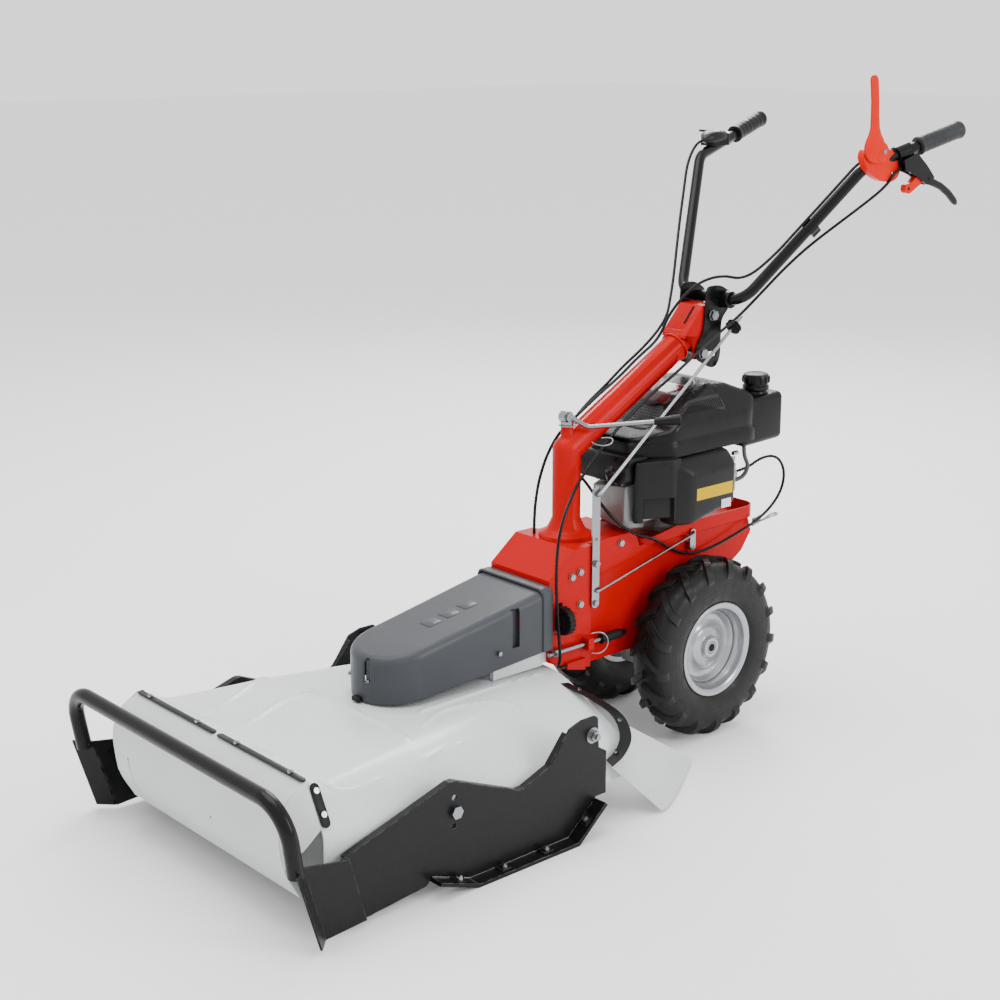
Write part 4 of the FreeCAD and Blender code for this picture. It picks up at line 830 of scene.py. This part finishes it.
def louvre(bm, x0, x1, y):
    """One dark bar across the engine cover's left shoulder: painted shade standing for a louvre slot."""
    half, sunk, proud = 2.1, -0.4, 0.9
    spots = np.linspace(x0, x1, 4)
    wrap(bm, [verts(bm, [at(x, y_here, float(shroud_height(x, y_here)) + lift) for x in spots])
              for y_here, lift in ((y - half, sunk), (y - half, proud), (y + half, proud), (y + half, sunk))])


# black bars as painted shade for the louvre slots
bm = bmesh.new()
for x0, x1 in ((84, 98), (103, 117)):
    for k in range(24):
        louvre(bm, x0, x1, -84 + 7.0 * k)
mesh_piece("shroud_louvres", bm, black_and_hole_shade, 30)
louvre_frame = rounded([(80, -90), (121, -90), (121, 84), (80, 84)], 6, 4)
shroud_patch("louvre_panel", louvre_frame, 0.5, 0.5, louvre_paint, steps=12, edge_drop=0.3)

soft_case = hull_piece("air_case", [
    (96, -194, 534), (108, -194, 534), (150, -116, 534), (150, -90, 534), (96, -90, 534), (96, -190, 672),
    (106, -188, 672), (148, -114, 676), (150, -90, 678), (96, -90, 678)], 11, engine_soft)
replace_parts(soft_case, "air_cleaner_case")
cut_away(soft_case, [cutter_box((90, -178, 500), (160, -112, 590))])
STEP_PLAN = [(92, -182), (100, -182), (139, -114), (139, -92), (92, -92)]
hull_piece("air_case_step", [(x, y, z) for z in (540, 592) for x, y in STEP_PLAN], 5, engine_soft)
air_cover = hull_piece("air_cover", [
    (97, -113, 519), (148, -113, 519), (171.6, -76, 522), (171.6, 71, 551), (97, 71, 545), (97, -113, 672),
    (141, -113, 670), (171.6, -76, 643), (171.6, 71, 648), (146, 71, 676), (97, 71, 680)], 13, engine_soft, 5)
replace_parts(air_cover, "air_cleaner_cover")
soft_box("notice_strip", (170.6, -62, 577), (171.9, 58, 605), yellow_panel, 0.4)
soft_box("notice_small", (170.6, 22, 545), (171.9, 54, 566), pale_panel, 0.4)

guard = hull_piece("head_guard", [
    (-24, -200, 530), (84, -208, 520), (92, -190, 520), (92, -150, 514), (-24, -150, 514), (-24, -200, 604),
    (80, -200, 616), (92, -150, 622), (-24, -150, 622)], 14, guard_metal, 5)
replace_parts(guard, "head_cover")
for k in range(5):
    soft_box("head_rib_%d" % k, (-14 + k * 20, -200, 616), (-9 + k * 20, -154, 624), guard_metal, 1.5)

tank = hull_piece("fuel_tank_body", [
    (17, 151, 656), (120, 151, 656), (123, 290, 662), (17, 290, 656), (17, 151, 770), (118, 151, 764),
    (122, 290, 776), (17, 290, 776)], 14, engine_plastic, 5)
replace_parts(tank, "fuel_tank")
NECK_X, NECK_Y = 75, 240
lathe("tank_neck", [(0, 0), (0, 29), (8, 27), (12, 24), (27, 24), (27, 0)], at(NECK_X, NECK_Y, 768), UP,
      engine_plastic)
CAP_LINE = [(0, 0), (0, 30), (1, 31.5), (9, 31.5), (10, 30), (10.5, 28.5), (15, 28.5), (15.5, 31), (19, 31.8),
            (31, 31), (36, 29), (38.4, 24), (39, 0)]
CAP_RIBS = 14
cap = lathe("fuel_cap_shell", CAP_LINE, at(NECK_X, NECK_Y, 780), UP, engine_plastic, 64, "fuel_cap")
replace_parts(cap, "fuel_cap")
for k in range(CAP_RIBS):
    turn = 2 * math.pi * k / CAP_RIBS
    lathe("fuel_cap_rib_%d" % k, [(0, 0), (0, 1.6), (1.4, 2.8), (13, 2.8), (15, 1.2), (15, 0)],
          at(NECK_X + 31.2 * math.cos(turn), NECK_Y + 31.2 * math.sin(turn), 797), UP, engine_plastic, 12,
          "fuel_cap")

# carburettor side: small bright parts round its body
lathe("carb_bowl", [(0, 0), (0, 12), (3, 17.5), (22, 18.5), (24, 16), (24, 0)], at(88, 112, 533), UP, cast)
lathe("carb_screw", head_line(6, 12, 4, 13), at(112, 118, 600), ACROSS, steel, 6)
lathe("carb_plug", head_line(8, 9, 6, 10), at(112, 106, 575), ACROSS, bronze, 6)
prism_x("carb_plate", [(84, 622), (142, 622), (146, 634), (120, 640), (104, 652), (90, 650), (84, 636)],
        100, 103, steel, 0.8)
prism_x("carb_arm", [(110, 628), (118, 630), (134, 596), (128, 592)], 106, 109, steel, 0.8)
lathe("throttle_stop", head_line(5, 16, 3, 17), at(108, 128, 646), FORE_AFT, steel, 24)


# ---------------------------------------------------------------- wheels

# (distance from the tyre's middle, radius), from the bead at one side over the tread's half
TYRE_WALL = [
    (38, 101), (38.5, 111), (43, 116), (47, 122), (49.5, 132), (50.8, 146), (50.8, 160), (49.8, 172),
    (47, 183), (41.5, 191.5), (34, 197.5), (24, 201), (12, 202)]
LUGS = 17
LUG_TOP = [(-5, 212.0), (12, 212.0), (27, 211.2), (38, 208), (46, 201), (51, 191), (52.4, 181), (51.6, 172)]
LUG_FOOT = [(-5, 198), (12, 198), (26, 196), (36, 191), (42, 185), (45, 178), (47, 173), (48, 168)]
LUG_LEAN = [0, -12, -24, -33, -38.5, -41, -42, -42.5]
RIM = [
    (-43, 100), (-43, 112), (-40, 112.5), (-39, 100), (-20, 86), (15, 85), (24, 97), (38, 100.5), (39, 108),
    (40.5, 112.4), (43, 112.8), (44.4, 111), (44.2, 106), (42.5, 101), (40, 97.5), (30, 95.5), (22, 92),
    (14, 84), (5, 80), (0, 76), (-1.5, 68), (0.5, 58), (5, 50), (10, 46), (13, 40), (14, 31), (16, 27),
    (23, 24.5), (26, 23), (26.4, 20), (26.4, 14.5), (22, 13), (12, 13), (8, 30), (6, 40), (0, 46), (-5, 57),
    (-6.5, 68), (-5, 78), (-3, 82), (-18, 83), (-37, 97)]


def wheel_point(x, radius, angle):
    return at(x, radius * math.sin(angle), TYRE_R - radius * math.cos(angle))


def wheel_skin(bm, side, profile, steps):
    """Ring-shaped solid round the axle with a closed profile."""
    angles = [2 * math.pi * k / steps for k in range(steps)]
    rings = [verts(bm, [wheel_point(side * (WHEEL_X + x), r, a) for a in angles]) for x, r in profile]
    skin(bm, rings + rings[:1])


def add_lug(bm, side, half, start):
    """One curved lug on the half of the tread that half names, +1 for the outer one."""
    stations = []
    for (tx, tr), (fx, fr), lean in zip(LUG_TOP, LUG_FOOT, LUG_LEAN):
        centre = start - lean / 200.0
        corners = ((fx, fr, -13), (tx, tr, -9), (tx, tr, 9), (fx, fr, 13))
        stations.append(verts(bm, [wheel_point(side * (WHEEL_X + half * x), r, centre + wide / r)
                                   for x, r, wide in corners]))
    skin(bm, stations)
    bm.faces.new(stations[0])
    bm.faces.new(stations[-1][::-1])
    crest = [v for station in stations for v in station[1:3]]
    edges = dict.fromkeys(e for v in crest for e in v.link_edges if e.other_vert(v) in crest)
    sharp = [e for e in edges if e.calc_face_angle(0.0) > math.radians(30)]
    round_edges(bm, sharp, 2.2, 2, clamp=False)


def tyre_piece(side, word):
    """Tyre carcass with two rows of curved lugs that wrap over the shoulders."""
    bm = bmesh.new()
    wheel_skin(bm, side, TYRE_WALL + [(-x, r) for x, r in TYRE_WALL[::-1]], 120)
    for half, shift in ((1, 0), (-1, 0.5)):
        for k in range(LUGS):
            add_lug(bm, side, half, 2 * math.pi * (k + shift) / LUGS + math.pi)
    return mesh_piece("tyre_" + word, bm, tyre_rubber, 42, "drive_axle")


def rim_piece(side, word):
    bm = bmesh.new()
    wheel_skin(bm, side, RIM, 96)
    return mesh_piece("rim_" + word, bm, rim_silver, 24, "drive_axle")


for side, word in SIDES:
    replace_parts(tyre_piece(side, word), "tyres")
    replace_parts(rim_piece(side, word), "rims")
    lathe("hub_cap_" + word, disc_line(9.5, 0.8), at(side * (WHEEL_X + 26.2), 0, TYRE_R), (side, 0, 0),
          black_and_hole_shade, 32, "drive_axle")


# ---------------------------------------------------------------- column and handlebar

carved("column", [cutter_box((37.2, -10, 850), (70, 180, 960))], red)
HEAD_TOP = [(27, 920), (88, 990), (131, 990), (131, 984), (91, 984), (33, 917)]
prism_x("column_head_cover", HEAD_TOP, -35.5, 35.5, red, 2.4, 4)
# black inset strip on the head's top: painted shade standing for the slot there
HEAD_SLOT = [(52, 950.2), (83, 985.8), (82.6, 986.4), (51.4, 950.8)]
prism_x("column_head_slot", HEAD_SLOT, 10, 15, black_and_hole_shade, 0.2, 1)
lathe("column_weld", [(0, 36), (0, 36.1), (3, 36.5), (6, 34.6), (7, 31)], at(0, 34, 895.1), (0, 424, 237),
      red)
lathe("selector_nut", head_line(15, 7, 13.5, 8), at(0, -306, 762.4), UP, steel, 6)
lathe("selector_washer", disc_line(19, 2), at(0, -306, 760), UP, steel)

PLATE_LINE = [
    (95, 1034), (140, 1034), (178, 1014), (178, 984), (147, 952), (147, 866), (134, 842), (112, 842),
    (64, 868), (62, 892), (88, 930), (92, 990)]
TILT_Y, TILT_Z = 114, 966  # the handlebar's tilt axis
BOLT_Y, BOLT_Z = 82, 880   # the clamp bolt, which the plates' arc slots pass
BOLT_HOLE_R = 6.6


def arc_spot(radius, angle):
    return (TILT_Y + radius * math.cos(angle), TILT_Z + radius * math.sin(angle))


def handle_plate(side, word):
    """Plate at one side of the column's head, with its arc slot for the clamp bolt."""
    plate = prism_x("handle_plate_" + word, rounded(PLATE_LINE, 14), side * 38.2, side * 42, black_paint,
                    1.1, 2, body="handlebar")
    start = math.atan2(BOLT_Z - TILT_Z, BOLT_Y - TILT_Y)
    reach = math.hypot(BOLT_Y - TILT_Y, BOLT_Z - TILT_Z)
    sweep = [start + math.radians(d) for d in range(0, 29, 2)]
    slot = [arc_spot(reach - BOLT_HOLE_R, a) for a in sweep]
    slot += [arc_spot(reach + BOLT_HOLE_R, a) for a in sweep[::-1]]
    near, far = ([at(side * x, y, z) for y, z in slot] for x in (30, 50))
    bm = prism(near, far)
    bmesh.ops.recalc_face_normals(bm, faces=bm.faces)
    holes = [(TILT_Y, TILT_Z), arc_spot(reach, sweep[0]), arc_spot(reach, sweep[-1])]
    cut_away(plate, [cutter(bm)] + [cutter_rod((side * 30, y, z), (side * 50, y, z), BOLT_HOLE_R)
                                    for y, z in holes])
    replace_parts(plate, "handle_bracket")
    lathe("handle_boss_" + word, [(0, 0), (0, 19), (1.5, 20), (20, 20), (21.5, 19), (21.5, 0)],
          at(side * 42, 157, 999), (side, 0, 0), black_paint, body="handlebar")


for side, word in SIDES:
    handle_plate(side, word)
lathe("guide_grommet", [(-6, 7.6), (-6, 17), (-4.5, 19), (-2.5, 17.5), (-1, 14), (1, 14), (2.5, 17.5),
                        (4.5, 19), (6, 17), (6, 7.6)], at(68.5, 160, 936.8), (-40, 500, 335.3), rubber, 40)


def oval(centre, half_wide, half_thick, across, through):
    """Ring of a rounded-rectangle section with the given half sizes in mm along two directions."""
    steps, power = 20, 0.75
    ring = []
    for k in range(steps):
        angle = 2 * math.pi * k / steps
        c = math.cos(angle)
        s = math.sin(angle)
        wide = half_wide * math.copysign(abs(c) ** power, c)
        thick = half_thick * math.copysign(abs(s) ** power, s)
        ring.append(centre + (Vector(across) * wide + Vector(through) * thick) * MM)
    return ring


# height, middle along y, half width, half thickness
BLADE_X = 281
BLADE = [
    (1314, 384, 12, 3.0), (1320, 382, 26, 4.6), (1336, 378, 38, 5.2), (1352, 376, 38, 5.2),
    (1366, 375, 31, 4.9), (1378, 374, 22, 4.6), (1392, 373, 16.5, 4.3), (1420, 370.5, 14.5, 4.0),
    (1451, 368.5, 14.0, 4.0), (1480, 364.5, 14.2, 3.9), (1497, 361.5, 14.4, 3.6), (1504, 360.5, 12, 3.0),
    (1508, 360, 6, 1.8)]
blade = loft("lever_blade", [oval(at(BLADE_X, y, z), w, t, FORE_AFT, ACROSS) for z, y, w, t in BLADE],
             red_plastic, "engage_lever")
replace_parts(blade, "engage_lever")
lathe("lever_hub", [(0, 0), (0, 21), (1.5, 23), (9.5, 22), (11.5, 17), (12, 0)], at(276.4, 400, 1337), ACROSS,
      red_plastic, body="engage_lever")
lathe("lever_screw", head_line(5.5, 2, 4, 2.6), at(288, 405, 1338), ACROSS, steel, 24, "engage_lever")

HOUSING = [
    (350, 1346), (388, 1344), (414, 1345), (463, 1331), (482, 1318), (484, 1286), (470, 1271), (448, 1266),
    (415, 1270), (385, 1282), (360, 1300), (342, 1326)]
housing = prism_x("lever_cover", rounded(HOUSING, 12, 5), 258, 275.6, red_plastic, 3.2, body="handlebar")
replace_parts(housing, "lever_housing")
for k, (y, z) in enumerate(((424, 1322), (456, 1284))):
    lathe("housing_screw_%d" % k, head_line(5.5, 1.6, 4, 2.4), at(275.2, y, z), ACROSS, steel, 24,
          "handlebar")
for k, (y, z) in enumerate(((424, 1342), (438, 1339), (452, 1335), (466, 1330))):
    soft_box("housing_tooth_%d" % k, (260, y - 4, z - 4), (274, y + 3, z + 4), red_plastic, 1.6,
             body="handlebar")

LINK = [
    (486, 1243), (503, 1236), (530, 1250), (556, 1262), (582, 1262), (586, 1276), (566, 1288), (548, 1287),
    (530, 1277), (508, 1262), (488, 1259)]
prism_x("hand_lever_link", rounded(LINK, 7, 4), 276.6, 290.4, red_plastic, 2.0, body="hand_lever")
lathe("link_pin", disc_line(3.4, 1.2), at(290.2, 500, 1249), ACROSS, black_and_hole_shade, 20, "hand_lever")
# middle along y, height, half width, half thickness
TIP = [(574, 1268, 9.5, 6.0), (600, 1258, 9, 6.2), (632, 1247, 8.6, 6.4), (664, 1230, 8.6, 6.4),
       (690, 1210, 8.4, 6.0), (699, 1203, 6.5, 4.5), (703, 1200, 2.5, 2.0)]
sections = []
for k, (y, z, w, t) in enumerate(TIP):
    before = TIP[max(k - 1, 0)]
    after = TIP[min(k + 1, len(TIP) - 1)]
    along = Vector((0, after[0] - before[0], after[1] - before[1])).normalized()
    sections.append(oval(at(283.5, y, z), w, t, (0, -along.z, along.y), ACROSS))
lever = loft("hand_lever_grip", sections, rubber, "hand_lever")
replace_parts(lever, "hand_lever")

# the left grip's line: its outer end, the way it points, its length; then (along, radius) of its outline
GRIP_END = Vector((305, 667, 1379))
GRIP_WAY = (54, 288, 79)
GRIP_START = GRIP_END - Vector(GRIP_WAY).normalized() * 136
GRIP_LINE = [(0, 13.2), (0, 20), (1.5, 21.6), (5, 21.6), (7, 20.4), (14, 19.6)]
for groove in range(22, 108, 17):
    GRIP_LINE += [(groove - 4, 19.5), (groove - 1.5, 19.9), (groove + 1.5, 19.9), (groove + 4, 19.5)]
GRIP_LINE += [(122, 19.8), (126, 21.0), (131, 21.2), (135.5, 19), (138, 13), (138.5, 0)]
for (side, word), mat in zip(SIDES, (grip_rubber, rubber)):
    along = Vector((side * GRIP_WAY[0], *GRIP_WAY[1:])).normalized()
    start = at(side * GRIP_START.x, GRIP_START.y, GRIP_START.z)
    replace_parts(lathe("grip_" + word, GRIP_LINE, start, along, mat, body="handlebar"), "grips")

# middle along y, x and height, half width, half thickness
THROTTLE_COVER = [
    (396, -256, 1337, 5, 4), (408, -260, 1339, 15, 11), (426, -266, 1342, 25, 16),
    (450, -270, 1344, 28, 16.5), (474, -272, 1344, 26, 14), (492, -272, 1342, 17, 9), (500, -272, 1341, 6, 4)]
loft("throttle_cover", [oval(at(x, y, z), w, t, ACROSS, UP) for y, x, z, w, t in THROTTLE_COVER], engine_soft,
     "handlebar")
lathe("throttle_clamp", [(0, 13.2), (0, 17), (10, 17), (10, 13.2)], at(-284, 512, 1333), (-54, 288, 79),
      steel, body="handlebar")


# ---------------------------------------------------------------- small fittings

def flap_corner(side, word):
    """Pale corner of the flap, from its side edge back to the slanting end of the deck's front."""
    rows = []
    edge = smooth_line(FLAP_LINE[:4], 6)
    for (y, z), t in zip(edge, np.linspace(0, 1, len(edge))):
        x2, y2, z2 = 300 + 45 * t, -1238 - 2 * t, 285 - 77 * t
        rows.append([at(side * (300 + (x2 - 300) * u + 4 * math.sin(math.pi * u)), y + (y2 - y) * u,
                        z + (z2 - z) * u) for u in np.linspace(0, 1, 9)])
    grid_sheet("flap_corner_" + word, rows, flap_white, 2.2, 0.0)


for side, word in SIDES:
    flap_corner(side, word)

DUCT = [(-226, 626), (-206, 656), (-196, 682), (-60, 682), (-60, 626)]
prism_x("head_duct", DUCT, -60, 92, engine_plastic, 7, 4)
lathe("spark_cap", [(0, 0), (0, 11), (6, 12), (22, 12), (26, 8), (34, 7), (34, 0)], at(52, -216, 634),
      (0.3, -0.5, 0.8), rubber, 32)
LOCK_RING = [
    (112, -330, 262), (122, -318, 258), (128, -300, 268), (128, -292, 286), (124, -300, 304),
    (116, -316, 310), (108, -328, 306)]
COLUMN_CLIP = [
    (33, -262, 722), (40, -258, 716), (52, -240, 712), (60, -226, 716), (56, -216, 724), (46, -220, 728),
    (34, -232, 726)]
REAR_CLIP = [
    (92, 232, 452), (104, 240, 458), (116, 262, 468), (120, 284, 470), (110, 296, 470), (100, 284, 468),
    (102, 262, 462)]
for name, points, radius, body in (("lock_ring", LOCK_RING, 1.6, "lock"),
                                   ("column_wire_clip", COLUMN_CLIP, 1.6, "chassis"),
                                   ("rear_wire_clip", REAR_CLIP, 2.6, "chassis")):
    tube(name, [at(*p) for p in points], radius, steel, body)
prism_x("rear_clip_plate", [(226, 446), (254, 452), (254, 470), (226, 466)], 91, 96, steel, 1.0)


# ---------------------------------------------------------------- cables

CLUTCH_ROUTE = [
    (283.5, 486, 1300), (283.5, 462, 1294), (276, 430, 1256), (244, 384, 1212), (208, 334, 1166),
    (174, 288, 1122), (143, 243, 1072), (117, 196, 1017), (92, 152, 966), (76, 98, 928), (70, 40, 893),
    (60, -24, 849), (46, -87, 808), (40, -150, 766), (41, -215, 724), (50, -285, 672), (72, -345, 642),
    (98, -395, 612), (109, -430, 556), (113, -441, 494), (117, -444, 430), (121, -442, 370), (121, -437, 310),
    (119, -432, 266), (100, -428, 243), (100, -396, 243)]
THROTTLE_ROUTE = [
    (-266, 420, 1338), (-266, 388, 1338), (-261, 345, 1290), (-228, 298, 1220), (-200, 257, 1157),
    (-164, 210, 1099), (-137, 173, 1033), (-104, 128, 988), (-66, 78, 955), (-52, 28, 922), (-46, -30, 889),
    (-48, -88, 856), (-44, -144, 822), (-49, -200, 786), (-54, -246, 744), (-50, -264, 690), (-24, -264, 650),
    (18, -264, 628), (50, -258, 592), (90, -240, 545), (108, -190, 508), (103, -126, 486), (91, -84, 461),
    (87, -50, 443), (86, -15, 426), (88, 16, 419), (90, 54, 417), (94, 100, 424), (96, 160, 438),
    (101, 215, 455), (108, 270, 484), (111, 310, 526), (109, 320, 574), (104, 296, 612), (96, 250, 616),
    (88, 200, 592), (88, 152, 592)]
ENGAGE_ROUTE = [
    (256.2, 399.8, 1326.4), (249.8, 365.6, 1317), (236, 334, 1282), (204, 293, 1223), (171, 251, 1163),
    (140, 204, 1101), (101, 155, 1050), (62, 116, 1062), (18, 76, 1038), (-14, 30, 974), (-22, 5, 914),
    (-26, -59, 879), (-22, -124, 841), (-26, -189, 806), (-26, -249, 771), (-38, -292, 738), (-45, -322, 692),
    (-51, -340, 640), (-54, -349, 590), (-58, -350, 545), (-58, -350, 507)]
for name, route in (("clutch_cable", CLUTCH_ROUTE), ("throttle_cable", THROTTLE_ROUTE),
                    ("engage_cable", ENGAGE_ROUTE)):
    points = [at(*p) for p in route]
    line = [tuple(v.co) for v in curve_mesh(points).vertices]
    run = tube(name + "_run", points, 3.5, cable_black)
    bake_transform(run)
    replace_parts(run, name)

rope = tube("starter_rope", [at(x, 40, 716) for x in np.linspace(-84, -138, 19)], 1.8, rubber)
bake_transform(rope)

HOSE = [(104, 172, 656), (104, 172, 633), (110, 184, 608), (104, 176, 582), (98, 150, 574), (92, 136, 574)]
hose = tube("fuel_hose_run", [at(*p) for p in HOSE], 5.0, hose_grey, "chassis")
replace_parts(hose, "fuel_hose")


# ---------------------------------------------------------------- floor, light and camera

bm = bmesh.new()
bmesh.ops.create_grid(bm, x_segments=1, y_segments=1, size=30.0)
floor_paint = finish("floor_pale", grey(0.93), 0.7, bump=0.0, tint=0.0, vary=0.02)
place("floor", to_mesh(bm, "floor"), floor_paint)

world = bpy.data.worlds.new("studio")
bpy.context.scene.world = world
world.use_nodes = True
background = world.node_tree.nodes["Background"]
background.inputs["Color"].default_value = (1.0, 1.0, 1.0, 1.0)
background.inputs["Strength"].default_value = 1.5


def area_light(name, spot, aim, size, power):
    data = bpy.data.lights.new(name, "AREA")
    data.shape = "RECTANGLE"
    data.size, data.size_y = size
    data.energy = power
    obj = place(name, data)
    obj.location = spot
    obj.rotation_euler = (Vector(aim) - Vector(spot)).to_track_quat("-Z", "Y").to_euler()


area_light("top", (-0.6, -0.8, 4.2), (0, -0.1, 0.3), (3.2, 3.2), 150)
area_light("side", (4.4, 1.6, 2.4), (0, 0.2, 0.5), (1.2, 2.6), 110)
area_light("rear", (-2.6, 3.2, 3.4), (0, 0, 0.6), (2.0, 1.6), 140)

lens = bpy.data.cameras.new("camera")
lens.lens = 63.37
lens.sensor_width = 36.0
camera = place("camera", lens)
azimuth = math.radians(48.67)
elevation = math.radians(15.38)
back = Vector((math.sin(azimuth) * math.cos(elevation), -math.cos(azimuth) * math.cos(elevation),
               math.sin(elevation)))
camera.location = (2.7582, -2.60119, 1.6351)
camera.rotation_euler = back.to_track_quat("Z", "Y").to_euler()
bpy.context.scene.camera = camera
